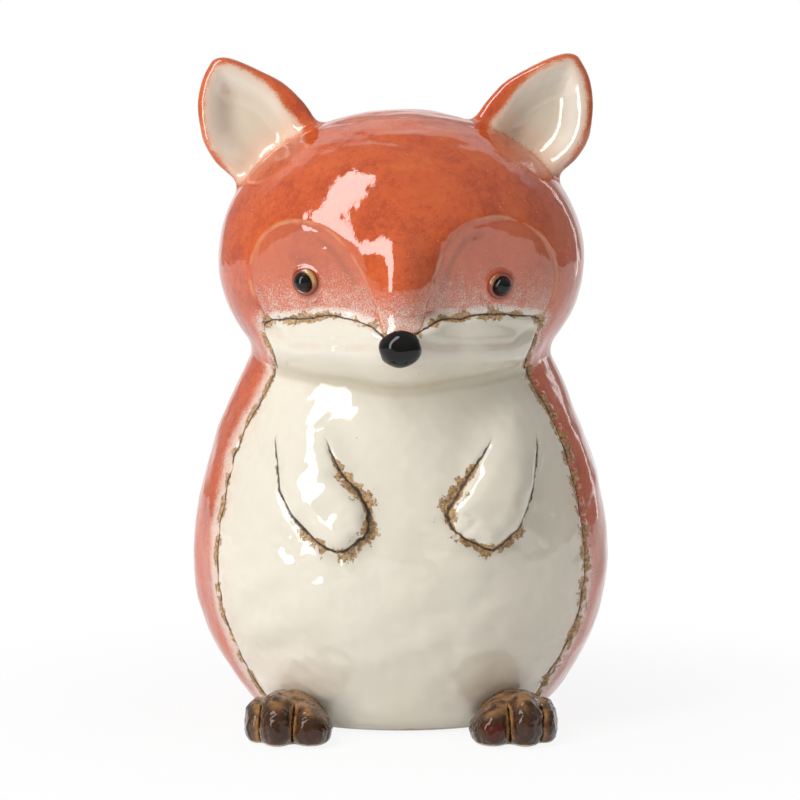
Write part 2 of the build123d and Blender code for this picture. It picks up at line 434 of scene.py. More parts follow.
def ear_gap(points, name):
    """Distance from points to one cupped ear."""
    root, axes = ear_frame(name)
    gap = np.full(len(points), 400.0)
    near = np.linalg.norm(points - root, axis=1) < 62.0
    local = (points[near] - root) @ axes
    leaf = outline_gap(local[:, :2], LEAF_LINE)
    up = np.clip(local[:, 1] / EAR_LENGTH, 0, 1)
    half = EAR_HALF_THICKNESS - EAR_THINNING * up**1.3
    cup = (CUP_DEPTH - CUP_SHALLOWING * up) * eased(-leaf - ear_lip(local), CUP_EDGE, CUP_MIDDLE)
    bow = EAR_BOW * eased(-leaf, 0.0, 14.0)
    front = local[:, 2] - (half - cup)
    back = -local[:, 2] - (half - 1.2 + bow)
    face = shared(front, back, SOFT_WIDTHS["ear face"])
    gap[near] = corner_gap(leaf + EAR_EDGE_ROUND, face + EAR_EDGE_ROUND) - EAR_EDGE_ROUND
    return gap


def body_gap(points):
    """Distance from points to the pear of the body."""
    across = np.sqrt(points[:, 0] ** 2 + (points[:, 1] / BODY_DEPTH_SHARE) ** 2) + 1e-6
    height = np.clip(points[:, 2], -3.0, BODY_HEIGHT + 4.0)
    width = np.polyval(BODY_PROFILE, height) - SKIN_ROOM
    slope = np.polyval(np.polyder(BODY_PROFILE), height)
    steep = (points[:, 0] ** 2 + (points[:, 1] / BODY_DEPTH_SHARE**2) ** 2) / across**2
    side = (across - width) / np.sqrt(steep + slope**2)
    side = shared(side, points[:, 2] - BODY_HEIGHT, SOFT_WIDTHS["body top"])
    return shared(side, -points[:, 2], SOFT_WIDTHS["body foot"])


def head_skin(across, up):
    """The place on the head this far from its middle, seen from the front, and the direction out of it."""
    front = math.sqrt(1 - (across / HEAD_HALF[0]) ** 2 - (up / HEAD_HALF[2]) ** 2)
    skin = Vector((across, HEAD_MIDDLE[1] - front * HEAD_HALF[1], HEAD_MIDDLE[2] + up))
    outward = Vector((across / HEAD_HALF[0] ** 2, -front / HEAD_HALF[1], up / HEAD_HALF[2] ** 2))
    return skin, outward.normalized()


def facing(outward):
    """Axes of a lump that looks outward: across, up and out, as columns."""
    sideways = (Vector((1, 0, 0)) - outward * outward.x).normalized()
    return np.array([sideways, outward.cross(sideways), outward]).T


def hollow_frame(side):
    """The middle and axes of the ball that presses the hollow round an eye."""
    skin, outward = head_skin(side * HOLLOW_SIDE, -HOLLOW_DROP)
    return np.array(skin + outward * (HOLLOW_HALF[2] - HOLLOW_SINK)), facing(outward)


def seat_frame(name):
    """The middle of an eye and the direction in which it looks."""
    skin, outward = head_skin(*EYE_PLACES[name])
    return skin - outward * EYE_SINK, outward


def muzzle_gap(points):
    """Distance from points to the muzzle pad and snout."""
    pad = lump_gap(points, MUZZLE_MIDDLE, MUZZLE_HALF)
    pad = shared(pad, points[:, 1] - MUZZLE_MIDDLE[1], SOFT_WIDTHS["muzzle back"])
    return joined(pad, lump_gap(points, SNOUT_MIDDLE, SNOUT_HALF), SOFT_WIDTHS["snout"])


def head_gap(points):
    """Distance from points to the head with its hollows, ridge, eye sockets and muzzle."""
    head = lump_gap(points, HEAD_MIDDLE, HEAD_HALF)
    for side in SIDES.values():
        middle, axes = hollow_frame(side)
        head = carved(head, lump_gap(points, middle, HOLLOW_HALF, axes), SOFT_WIDTHS["hollow"])
    head = joined(head, lump_gap(points, RIDGE_MIDDLE, RIDGE_HALF), SOFT_WIDTHS["ridge"])
    for name in SIDES:
        seat, outward = seat_frame(name)
        socket = lump_gap(points, seat + outward * SOCKET_RISE, SOCKET_HALF)
        head = carved(head, socket, SOFT_WIDTHS["socket"])
    return joined(head, muzzle_gap(points), SOFT_WIDTHS["muzzle"])


def arm_outline_gap(points, name):
    """Distance on the front from the line round a forearm, below zero inside it."""
    gap = np.full(len(points), 60.0)
    near = (np.abs(points[:, 0] - SIDES[name] * 30.0) < 60.0) & (points[:, 1] < 5.0)
    near &= (points[:, 2] > 30.0) & (points[:, 2] < 150.0)
    gap[near] = outline_gap(points[near][:, [0, 2]], ARM_LINES[name])
    return gap


def arm_gap(points, name):
    """Distance from points to one forearm, pressed flat on the belly with rounded edges."""
    rise = ARM_RISE - ARM_FADE * eased(points[:, 2], 84.0, 110.0)
    across = arm_outline_gap(points, name) + ARM_ROUND
    return corner_gap(across, body_gap(points) - rise + ARM_ROUND) - ARM_ROUND


def tail_gap(points):
    """Distance from points to the tail laid up the back."""
    return lump_gap(points, TAIL_MIDDLE, TAIL_HALF, turned(TAIL_TURN))


def clay_gap(points):
    """Distance from points to the whole joined clay form."""
    clay = body_gap(points)
    arm_soft = SOFT_WIDTHS["arm"] + SOFT_WIDTHS["arm top"] * eased(points[:, 2], 86.0, 108.0)
    for name in SIDES:
        clay = joined(clay, arm_gap(points, name), arm_soft)
    clay = joined(clay, tail_gap(points), SOFT_WIDTHS["tail"])
    clay = joined(clay, head_gap(points), SOFT_WIDTHS["neck"])
    for name in SIDES:
        clay = joined(clay, ear_gap(points, name), SOFT_WIDTHS["ear"])
    return clay


def foot_lumps(side):
    """Middles and half sizes of one foot's toes and instep."""
    lumps = {f"toe_{name}": ((side * middle[0], *middle[1:]), half) for name, (middle, half) in TOES.items()}
    lumps["instep"] = ((side * INSTEP_MIDDLE[0], *INSTEP_MIDDLE[1:]), INSTEP_HALF)
    return lumps


def foot_gap(points, side):
    """Distance from points to one foot, standing flat."""
    gap = None
    for middle, half in foot_lumps(side).values():
        lump = lump_gap(points, middle, half)
        gap = lump if gap is None else joined(gap, lump, SOFT_WIDTHS["toes"])
    pressed = (side * points[:, 0] - FOOT_SLOPE_PLACE[0]) * FOOT_SLOPE[0]
    pressed += (points[:, 2] - FOOT_SLOPE_PLACE[1]) * FOOT_SLOPE[1]
    gap = shared(gap, pressed, SOFT_WIDTHS["foot slope"])
    return shared(gap, FOOT_LIFT - points[:, 2], SOFT_WIDTHS["foot sole"])


def ripple(points, size, seed):
    """A smooth uneven wandering about zero, with lumps of about this size."""
    random = np.random.default_rng(seed)
    total = np.zeros(len(points))
    for _ in range(14):
        direction = random.normal(size=3)
        direction /= np.linalg.norm(direction)
        pitch = size * random.uniform(0.75, 1.5)
        total += np.sin(points @ direction * (2 * math.pi / pitch) + random.uniform(0, 2 * math.pi))
    return total / math.sqrt(7.0)


def slope_of(gap, points, step=0.05):
    """The gap at points and its slope there."""
    value = gap(points)
    slope = np.empty_like(points)
    for axis in range(3):
        moved = points.copy()
        moved[:, axis] += step
        slope[:, axis] = (gap(moved) - value) / step
    return value, slope


def outward_from(gap, points):
    """The direction straight out of a form at points near its surface."""
    _, slope = slope_of(gap, points)
    return slope / np.linalg.norm(slope, axis=1)[:, None]


def settled(gap, points, rounds):
    """Points moved on to the surface where the gap is zero."""
    for _ in range(rounds):
        value, slope = slope_of(gap, points)
        pull = value / np.clip((slope**2).sum(1), 0.25, None)
        points = points - np.clip(pull, -2.0, 2.0)[:, None] * slope
    return points


# Clay tools


def only(*objects):
    """Deselects all, then selects these objects and makes the first one active."""
    if bpy.context.mode != "OBJECT":
        bpy.ops.object.mode_set(mode="OBJECT")
    bpy.ops.object.select_all(action="DESELECT")
    for piece in objects:
        piece.select_set(True)
    bpy.context.view_layer.objects.active = objects[0]


def named(piece, name):
    """Gives a piece and its mesh a name."""
    piece.name = name
    piece.data.name = name
    return piece


def numbers_on(collection, name, width, kind=float):
    """One row of numbers for each point or face of a mesh."""
    flat = np.empty(len(collection) * width, dtype=kind)
    collection.foreach_get(name, flat)
    return flat.reshape(-1, width) if width > 1 else flat


def points_of(piece):
    """A mesh's points in millimetres."""
    return numbers_on(piece.data.vertices, "co", 3) / MM


def face_middles(piece):
    """The middles of a mesh's faces, in millimetres."""
    return numbers_on(piece.data.polygons, "center", 3) / MM


def place_points(piece, points):
    """Moves a mesh's points to these places in millimetres."""
    piece.data.vertices.foreach_set("co", (points * MM).ravel())
    piece.data.update()


def write_on(piece, name, values):
    """Keeps one number or direction for each point of a mesh, for its glaze or its relief to read."""
    values = np.asarray(values, dtype=np.float32)
    kind = "FLOAT_VECTOR" if values.ndim == 2 else "FLOAT"
    attribute = piece.data.attributes.new(name, kind, "POINT")
    attribute.data.foreach_set("vector" if values.ndim == 2 else "value", values.ravel())


def pick_faces(piece, chosen):
    """Selects these faces of a piece and leaves it in edit mode."""
    only(piece)
    bpy.ops.object.mode_set(mode="EDIT")
    bpy.ops.mesh.select_mode(type="FACE")
    bpy.ops.mesh.select_all(action="DESELECT")
    bpy.ops.object.mode_set(mode="OBJECT")
    piece.data.polygons.foreach_set("select", chosen)
    bpy.ops.object.mode_set(mode="EDIT")


def finish_modifier(piece, kind, **settings):
    """Adds a modifier to a piece and applies it."""
    only(piece)
    modifier = piece.modifiers.new(kind.title(), kind)
    for name, value in settings.items():
        setattr(modifier, name, value)
    bpy.ops.object.modifier_apply(modifier=modifier.name)


def rough_ball(middle, half_sizes, turn=(0, 0, 0)):
    """A ball of clay pulled to its half sizes."""
    bpy.ops.mesh.primitive_uv_sphere_add(segments=64, ring_count=40, radius=1)
    ball = bpy.context.object
    axes = Matrix(turned(turn).tolist()).to_4x4()
    size = Matrix.Diagonal((*[half * MM for half in half_sizes], 1))
    ball.matrix_world = Matrix.Translation(Vector(middle) * MM) @ axes @ size
    bpy.ops.object.transform_apply(location=True, rotation=True, scale=True)
    return ball


def rough_pear():
    """The body, drawn up ring by ring."""
    heights = np.linspace(0, BODY_HEIGHT, 26)
    widths = np.polyval(BODY_PROFILE, heights)
    bpy.ops.mesh.primitive_circle_add(vertices=96, radius=widths[0] * MM, fill_type="NGON")
    pear = bpy.context.object
    bpy.ops.object.mode_set(mode="EDIT")
    bpy.ops.mesh.select_all(action="SELECT")
    for index in range(1, len(heights)):
        rise = (heights[index] - heights[index - 1]) * MM
        bpy.ops.mesh.extrude_region_move(TRANSFORM_OT_translate={"value": (0, 0, rise)})
        ratio = widths[index] / widths[index - 1]
        bpy.ops.transform.resize(value=(ratio, ratio, 1), center_override=(0, 0, heights[index] * MM))
    bpy.ops.object.mode_set(mode="OBJECT")
    pear.scale = (1, BODY_DEPTH_SHARE, 1)
    bpy.ops.object.transform_apply(location=True, rotation=True, scale=True)
    return pear


def rough_ear(name):
    """A leaf of clay, cut to the ear's outline and given its thickness."""
    root, axes = ear_frame(name)
    bpy.ops.mesh.primitive_circle_add(vertices=len(LEAF_LINE), radius=1, fill_type="NGON")
    leaf = bpy.context.object
    flat = np.column_stack([LEAF_LINE, np.full(len(LEAF_LINE), -5.0)])
    place_points(leaf, root + flat @ axes.T)
    bpy.ops.object.mode_set(mode="EDIT")
    bpy.ops.mesh.select_all(action="SELECT")
    bpy.ops.mesh.extrude_region_move(TRANSFORM_OT_translate={"value": (0, -10 * MM, 0)})
    bpy.ops.mesh.normals_make_consistent(inside=False)
    bpy.ops.object.mode_set(mode="OBJECT")
    return leaf


def worked_together(lumps, name, gap, grain):
    """Lumps joined to one even skin and smoothed on to the surface of a clay form."""
    only(*lumps)
    bpy.ops.object.join()
    skin = named(bpy.context.object, name)
    finish_modifier(skin, "REMESH", mode="VOXEL", voxel_size=grain)
    place_points(skin, settled(gap, points_of(skin), 4))
    for _ in range(2):
        finish_modifier(skin, "SMOOTH", factor=0.5, iterations=5)
        place_points(skin, settled(gap, points_of(skin), 2))
    return skin


def finer(skin, gap, chosen):
    """Divides the chosen faces of a skin once and settles it again."""
    pick_faces(skin, chosen)
    bpy.ops.mesh.subdivide(number_cuts=1, smoothness=0)
    bpy.ops.object.mode_set(mode="OBJECT")
    place_points(skin, settled(gap, points_of(skin), 2))


def lay_out(skin, outward, relief, labels):
    """Keeps the relief of each point and the part of each face on a skin, for when it is parted."""
    write_on(skin, "relief", outward * relief[:, None])
    parts = skin.data.attributes.new("part", "INT", "FACE")
    parts.data.foreach_set("value", labels.astype(np.int32))


def parted(skin, label, name, wall):
    """Parts the faces with a label from a skin, as a piece of its own with its wall."""
    labels = numbers_on(skin.data.attributes["part"].data, "value", 1, np.int32)
    pick_faces(skin, labels == label)
    bpy.ops.mesh.separate(type="SELECTED")
    bpy.ops.object.mode_set(mode="OBJECT")
    piece = named(next(other for other in bpy.context.selected_objects if other is not skin), name)
    thickened(piece, wall)
    return piece


def thickened(piece, wall):
    """Gives a parted skin its wall, inwards, and presses the kept relief into its outer face."""
    relief = numbers_on(piece.data.attributes["relief"].data, "vector", 3)
    finish_modifier(piece, "SOLIDIFY", thickness=wall, offset=-1.0, use_rim=True)
    points = points_of(piece)
    points[: len(relief)] += relief
    place_points(piece, points)
    piece.data.attributes.remove(piece.data.attributes["relief"])
    only(piece)
    bpy.ops.object.shade_smooth_by_angle(angle=math.radians(75))


def set_in_frame(piece, node, material):
    """Puts a finished piece in the frame in place of its node, with its glaze."""
    piece.data.materials.clear()
    piece.data.materials.append(material)
    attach(piece, "root")
    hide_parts(node)


# Joints and marks of the clay form

# How fast the lead of one form over the next grows across a joint
LEAD_PER_MM = 1.4


def belly_edge(points):
    """Distance round the body from the side seam, below zero on the belly."""
    across = points[:, 0]
    forward = -points[:, 1] / BODY_DEPTH_SHARE
    height = points[:, 2]
    angle = np.degrees(np.arctan2(np.abs(across), forward))
    seam = BELLY_SEAM_ANGLE - BELLY_SEAM_LOW * eased(height, 45, 10)
    seam -= BELLY_SEAM_HIGH * eased(height, 96, 130)
    return np.radians(angle - seam) * np.hypot(across, forward) * 0.96


def tail_edge(points):
    """Distance along the tail from the joint of its tip, below zero in the tip."""
    local = (points - np.array(TAIL_MIDDLE)) @ turned(TAIL_TURN)
    return TAIL_TIP_RISE - local[:, 2] + 0.012 * local[:, 0] ** 2


def tail_joint(points):
    """How far points lie within the tail, from its joint with the back."""
    lead = np.clip(body_gap(points) - tail_gap(points), -30, 30) / LEAD_PER_MM
    return np.where(points[:, 1] > 0, lead, -30)


def neck_edge(points):
    """Distance along the skin from the neck joint, below zero on the head."""

    def lead(places):
        return head_gap(places) - body_gap(places)

    value, slope = slope_of(lead, points)
    outward = outward_from(clay_gap, points)
    along = slope - (slope * outward).sum(1)[:, None] * outward
    return value / np.clip(np.linalg.norm(along, axis=1), 0.25, None)


def eye_edge(points):
    """Distance from points to the nearer eye's lid, below zero under it."""
    seats = [np.array(seat + outward * 2.0) for seat, outward in map(seat_frame, SIDES)]
    return np.min([np.linalg.norm(points - seat, axis=1) for seat in seats], axis=0) - EYE_RIM_ROOM


def ear_joint(points):
    """How far points lie within an ear, from its joint with the head."""
    ears = np.minimum(*[ear_gap(points, name) for name in SIDES])
    return np.clip(head_gap(points) - ears, -40.0, 40.0) / LEAD_PER_MM


def ear_edge(points):
    """How far points lie within the rim of an ear's cup, below zero on the rim and behind it."""
    edge = np.full(len(points), -30.0)
    for name in SIDES:
        root, axes = ear_frame(name)
        near = np.linalg.norm(points - root, axis=1) < 60.0
        local = (points[near] - root) @ axes
        leaf = outline_gap(local[:, :2], LEAF_LINE)
        lip = ear_lip(local)
        middle = -2.0 - 3.4 * eased(-leaf - lip, CUP_EDGE, CUP_MIDDLE)
        edge[near] = np.where(local[:, 2] > middle, -leaf - lip, leaf) - 2.4
    return edge


def scored_on(points, outline, surface):
    """Distance on the front of the skin from an outline laid on it, below zero inside."""
    line = []
    for across, up in outline:
        hit, *_ = surface.ray_cast(Vector((across, -200.0, up)) * MM, Vector((0, 1, 0)))
        line.append((across, hit.y / MM if hit else 0.0, up))
    line = np.array(line)
    gap = np.full(len(points), 40.0)
    reach = 40.0 + np.ptp(line, axis=0).max()
    near = (points[:, 1] < 0) & (np.linalg.norm(points - line.mean(0), axis=1) < reach)
    gap[near] = line_gap(points[near], line)
    return np.where(near & inside(points[:, [0, 2]], outline), -gap, gap)


def clay_marks(points, surface):
    """Distances that the glazes and the scored lines read, for each point of the clay form."""
    side = np.where(points[:, 0] > 0, 1, -1)
    return {
        "belly_edge": belly_edge(points),
        "muzzle_edge": scored_on(points, MUZZLE_LINE, surface),
        "patch_edge": np.minimum(*[scored_on(points, line, surface) for line in PATCH_LINES]),
        "arm_edge": np.minimum(*[arm_outline_gap(points, name) for name in SIDES]),
        "arm_out": side * points[:, 0] - 29.0 - 0.45 * (points[:, 2] - 85.0),
        "tail_edge": tail_edge(points),
        "tail_joint": tail_joint(points),
        "neck_edge": neck_edge(points),
        "foot_edge": np.minimum(*[foot_gap(points, side) for side in SIDES.values()]),
        "eye_edge": eye_edge(points),
        "ear_joint": ear_joint(points),
        "ear_edge": ear_edge(points),
    }


def near_joints(points, marks):
    """Which places lie so near a joint or a line that the skin needs finer points there."""
    distance = {name: np.abs(values) for name, values in marks.items()}
    near = (distance["belly_edge"] < 3.0) & (marks["neck_edge"] > -1)
    near |= (distance["muzzle_edge"] < 2.6) | (distance["patch_edge"] < 1.8) | (distance["neck_edge"] < 2.0)
    near |= (distance["arm_edge"] < 2.4) & (points[:, 2] < 110) & (points[:, 1] < -20)
    near |= (distance["tail_edge"] < 2.4) & (marks["tail_joint"] > -1.5)
    near |= (distance["tail_joint"] < 1.5) & (marks["tail_edge"] < 2.0)
    return near


def part_labels(middles):
    """The piece that each face of the clay form belongs to, by its place in the list of parts."""
    head, body, tail = head_gap(middles), body_gap(middles), tail_gap(middles)
    on_tail = (tail < body) & (middles[:, 1] > 0)
    in_muzzle_line = inside(middles[:, [0, 2]], MUZZLE_LINE) & (middles[:, 1] < -12)
    areas = {
        "belly_panel": belly_edge(middles) < 0,
        "tail_brush": on_tail,
        "tail_tip": on_tail & (tail_edge(middles) < 0),
        "left_arm": arm_gap(middles, "left") < body,
        "right_arm": arm_gap(middles, "right") < body,
        "crown_shell": head < body,
        "muzzle_pad": (head < body) & in_muzzle_line,
        "left_ear": ear_gap(middles, "left") < head,
        "right_ear": ear_gap(middles, "right") < head,
    }
    labels = np.full(len(middles), PARTS.index("coat_shell"))
    for name, area in areas.items():
        labels[area] = PARTS.index(name)
    hub = (middles[:, 0] / HUB_HALF[0]) ** 2 + (middles[:, 1] / HUB_HALF[1]) ** 2 < 1
    labels[(middles[:, 2] < HUB_RISE) & hub] = len(PARTS)
    return labels


# Relief of the clay form, which is how far its points stand proud of the smooth form


def along(distance, width):
    """1 on a line, falling off to 0 over about this width beside it."""
    return np.exp(-((distance / width) ** 2))


def pressed_relief(points, marks, wander):
    """The unevenness of pressed walls, finger marks on the belly and wavy wipes on the crown."""
    on_head = eased(points[:, 2], 112, 124)
    skin = ripple(points, 30.0, 3) * 0.8 + ripple(points, 12.0, 4) * 0.30 + ripple(points, 5.0, 5) * 0.07
    skin *= 1.0 - 0.55 * on_head
    skin += ripple(points, 4.0, 13) * 0.06 * on_head
    fingers = ripple(points, 12.0, 6) * 0.17 * eased(points[:, 2], 105, 75) + ripple(points, 6.0, 9) * 0.05
    fingers *= eased(marks["belly_edge"], 2, -6) * (marks["neck_edge"] > 0)
    wipes = ripple(points * (0.4, 1.0, 1.6), 8.0, 12) * eased(points[:, 2], 200, 210)
    return wander * skin + fingers + 0.11 * wipes * (marks["ear_joint"] < 0)


def body_relief(points, marks, depth):
    """The scored side seam with its rope of clay, and the lines round the arms, claws and tail tip."""
    on_body = (marks["neck_edge"] > 0).astype(float)
    seam = along(marks["belly_edge"], 0.9) * (0.8 + 0.3 * ripple(points, 7.0, 7))
    rope = np.sin(points[:, 2] * 1.5 + 1.2 * ripple(points, 12.0, 8)) * eased(points[:, 0], 5, 20)
    rope = np.clip(rope, 0, None) * along(marks["belly_edge"] - 2.0, 1.3)
    relief = (0.65 * rope - depth * seam) * on_body
    arm = along(marks["arm_edge"], 0.9) * eased(points[:, 2], 107, 98) * (points[:, 1] < -20)
    tail = along(marks["tail_edge"], 0.8) * eased(marks["tail_joint"], 0.0, 1.5)
    relief -= depth * (1.1 * arm + tail)
    for cleft in PAW_CLEFTS:
        across, up = cleft[1][0], 76.0
        near = (np.abs(points[:, 0] - across) < 14) & (np.abs(points[:, 2] - up) < 14) & (points[:, 1] < -30)
        away = line_gap(points[near][:, [0, 2]], np.array(cleft), closed=False)
        relief[near] -= 0.6 * along(away, 1.1)
    return relief


def face_relief(points, marks, depth):
    """The muzzle's scored and rounded edge and its fold, the sunk eye patches and the folds in them."""
    up = points[:, 2]
    aside = np.abs(points[:, 0])
    muzzle = marks["muzzle_edge"]
    patch = marks["patch_edge"]
    relief = 0.55 * along(muzzle + 2.4, 1.8) * eased(up, 134, 141)
    relief -= depth * along(muzzle, 0.8) * eased(up, 122, 128)
    mouth_up = 137.2 + 3.2 * np.exp((6.0 - aside) / 5.0) + 4.2 * eased(aside, 38, 46)
    relief -= 0.95 * along(up - mouth_up, 1.9) * eased(muzzle, -0.5, -3.0)
    relief -= 0.55 * eased(patch, 0.9, -1.4) * eased(muzzle, -0.5, 2.0)
    relief -= 0.25 * along(patch - 0.2, 1.0) * eased(muzzle, 0, 3.0)
    fold = along(patch + 4.4 + 0.4 * ripple(points, 9.0, 11), 0.8) * eased(up, 153, 160)
    relief -= 0.22 * fold * eased(aside, 32, 26) * eased(aside, 11, 14)
    return relief * ((marks["neck_edge"] < 0) & (points[:, 1] < -14))


def clay_relief(points, marks, sizes):
    """The whole relief, which fades out where the form stands on the ground."""
    depth = sizes.score_depth / MM
    relief = pressed_relief(points, marks, sizes.unevenness / MM)
    relief += body_relief(points, marks, depth) + face_relief(points, marks, depth)
    relief += 0.35 * along(marks["eye_edge"] + 0.3, 0.8) - 0.21 * along(marks["eye_edge"] - 1.5, 0.8)
    return relief * eased(points[:, 2], 0.2, 3.0)


def rough_lumps():
    """The lumps of clay that the fox is worked together from."""
    lumps = [rough_pear()]
    lumps.append(rough_ball(HEAD_MIDDLE, HEAD_HALF))
    lumps.append(rough_ball(SNOUT_MIDDLE, SNOUT_HALF))
    lumps.append(rough_ball(MUZZLE_MIDDLE, MUZZLE_HALF))
    lumps.append(rough_ball(TAIL_MIDDLE, TAIL_HALF, TAIL_TURN))
    for name, side in SIDES.items():
        for (across, back, up), half in ROUGH_ARM:
            lumps.append(rough_ball((side * across, back, up), half))
        lumps.append(rough_ear(name))
    return lumps


class FOX_OT_clay_form(bpy.types.Operator):
    """Work the walls, head, ears, arms and tail together into one clay form, and score its joints"""

    bl_idname = "fox.clay_form"
    bl_label = "Clay Form"

    def execute(self, context):
        sizes = context.scene.fox_clay
        clay = worked_together(rough_lumps(), "clay_form", clay_gap, sizes.grain)
        surface = BVHTree.FromObject(clay, context.evaluated_depsgraph_get())
        middles = face_middles(clay)
        finer(clay, clay_gap, near_joints(middles, clay_marks(middles, surface)))

        points = points_of(clay)
        marks = clay_marks(points, surface)
        for name, values in marks.items():
            write_on(clay, name, values)
        relief = clay_relief(points, marks, sizes)
        lay_out(clay, outward_from(clay_gap, points), relief, part_labels(face_middles(clay)))
        return {"FINISHED"}


def set_clay_piece(node, material, wall=None):
    """Parts one piece from the clay form and sets it in the frame with its glaze."""
    clay = bpy.data.objects["clay_form"]
    wall = wall or bpy.context.scene.fox_clay.wall
    piece = parted(clay, PARTS.index(node), f"{node}_clay", wall)
    set_in_frame(piece, node, material)


class FOX_OT_body(bpy.types.Operator):
    """Part the coat and the belly of the pressed body"""

    bl_idname = "fox.body"
    bl_label = "Body"

    def execute(self, context):
        set_clay_piece("coat_shell", coat_glaze())
        set_clay_piece("belly_panel", belly_glaze())
        return {"FINISHED"}


class FOX_OT_head(bpy.types.Operator):
    """Part the crown and the muzzle of the head"""

    bl_idname = "fox.head"
    bl_label = "Head"

    def execute(self, context):
        set_clay_piece("crown_shell", crown_glaze())
        set_clay_piece("muzzle_pad", muzzle_glaze())
        return {"FINISHED"}


class FOX_OT_ears(bpy.types.Operator):
    """Part the two cupped ears"""

    bl_idname = "fox.ears"
    bl_label = "Ears"

    def execute(self, context):
        glaze = ear_glaze()
        for name in SIDES:
            set_clay_piece(f"{name}_ear", glaze, THIN_WALL * MM)
        return {"FINISHED"}


class FOX_OT_arms(bpy.types.Operator):
    """Part the two forearms"""

    bl_idname = "fox.arms"
    bl_label = "Arms"

    def execute(self, context):
        glaze = belly_glaze()
        for name in SIDES:
            set_clay_piece(f"{name}_arm", glaze)
        return {"FINISHED"}


class FOX_OT_tail(bpy.types.Operator):
    """Part the tail and its tip, and clear away what is left of the form"""

    bl_idname = "fox.tail"
    bl_label = "Tail"

    def execute(self, context):
        glaze = tail_glaze()
        set_clay_piece("tail_brush", glaze)
        set_clay_piece("tail_tip", glaze)
        bpy.data.objects.remove(bpy.data.objects["clay_form"])
        return {"FINISHED"}


def small_lump(name, middle, half_sizes, axes, dents):
    """A small ball pressed out of round."""
    bpy.ops.mesh.primitive_ico_sphere_add(subdivisions=5, radius=1)
    lump = named(bpy.context.object, name)
    points = points_of(lump) * MM
    pressed = points * (1.0 + dents * ripple(points * 10.0, 9.0, 21)[:, None])
    place_points(lump, np.asarray(middle) + (pressed * half_sizes) @ axes.T)
    only(lump)
    bpy.ops.object.shade_smooth()
    return lump


def rolled_lid(name, side, seat, axes):
    """A thin roll of clay laid round an eye, a little uneven, with a mark for where its glaze is thin."""
    bpy.ops.mesh.primitive_torus_add(
        major_segments=96, minor_segments=28, major_radius=LID_RADIUS, minor_radius=LID_HALF_THICKNESS
    )
    lid = named(bpy.context.object, name)
    points = points_of(lid) * MM
    turn = np.arctan2(points[:, 1], points[:, 0])
    points[:, 2] += 0.22 * np.sin(turn + 0.8 * side) + 0.10 * np.sin(3 * turn)
    place_points(lid, np.asarray(seat) + points @ axes.T)
    write_on(lid, "lid_turn", np.cos(turn - math.pi / 2 - side * 0.9) - (0.35 if side > 0 else 0.0))
    only(lid)
    bpy.ops.object.shade_smooth()
    return lid


class FOX_OT_nose(bpy.types.Operator):
    """Roll the nose and seat it on the snout"""

    bl_idname = "fox.nose"
    bl_label = "Nose"

    def execute(self, context):
        nose = small_lump("nose_bead_clay", NOSE_MIDDLE, NOSE_HALF, np.eye(3), 0.018)
        set_in_frame(nose, "nose_bead", black_glaze())
        return {"FINISHED"}


class FOX_OT_eyes(bpy.types.Operator):
    """Seat a bead and a rolled lid in each eye hollow"""

    bl_idname = "fox.eyes"
    bl_label = "Eyes"

    def execute(self, context):
        lid_glaze = eye_rim_glaze()
        bead_glaze = black_glaze()
        for name, side in SIDES.items():
            seat, outward = seat_frame(name)
            axes = facing(outward)
            bead = small_lump(f"{name}_eye_bead_clay", seat + outward * BEAD_RISE, BEAD_HALF, axes, 0.012)
            set_in_frame(bead, f"{name}_eye_bead", bead_glaze)
            lid = rolled_lid(f"{name}_eye_rim_clay", side, seat, axes)
            set_in_frame(lid, f"{name}_eye_rim", lid_glaze)
        return {"FINISHED"}


def lay_out_foot(foot, lumps, gap):
    """Scores the grooves between the toes of a foot and marks which lump each face belongs to."""
    points = points_of(foot)
    toes = np.sort([lump_gap(points, *lumps[f"toe_{toe}"]) for toe in TOES], axis=0)
    groove = toes[1] - toes[0] + 5.0 * eased(points[:, 2], 12.5, 17.5)
    outward = outward_from(gap, points)
    relief = 0.16 * ripple(points, 5.5, 31) + 0.07 * ripple(points, 2.2, 32) - 0.75 * along(groove, 0.7)
    write_on(foot, "groove", groove)
    write_on(foot, "rise", outward[:, 2])
    middles = face_middles(foot)
    labels = np.argmin([lump_gap(middles, middle, half) for middle, half in lumps.values()], axis=0)
    lay_out(foot, outward, relief * eased(points[:, 2], 0.2, 2.0), labels)


class FOX_OT_feet(bpy.types.Operator):
    """Work the toes and insteps together and part them along their grooves"""

    bl_idname = "fox.feet"
    bl_label = "Feet"

    def execute(self, context):
        grain = context.scene.fox_clay.foot_grain
        glaze = foot_glaze()
        for name, side in SIDES.items():
            gap = partial(foot_gap, side=side)
            lumps = foot_lumps(side)
            balls = [rough_ball(middle, half) for middle, half in lumps.values()]
            foot = worked_together(balls, f"{name}_foot_form", gap, grain)
            lay_out_foot(foot, lumps, gap)
            for index, lump in enumerate(lumps):
                piece = parted(foot, index, f"{name}_{lump}_clay", THIN_WALL * MM)
                set_in_frame(piece, f"{name}_{lump}", glaze)
            bpy.data.objects.remove(foot)
        return {"FINISHED"}


class FOX_OT_bare_clay(bpy.types.Operator):
    """Finish the unglazed floor and the coil inside the neck"""

    bl_idname = "fox.bare_clay"
    bl_label = "Bare Clay"

    def execute(self, context):
        clay = bare_clay()
        for node in ("base_disc", "neck_coil"):
            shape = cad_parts[node]
            shape.data.materials.clear()
            shape.data.materials.append(clay)
        return {"FINISHED"}


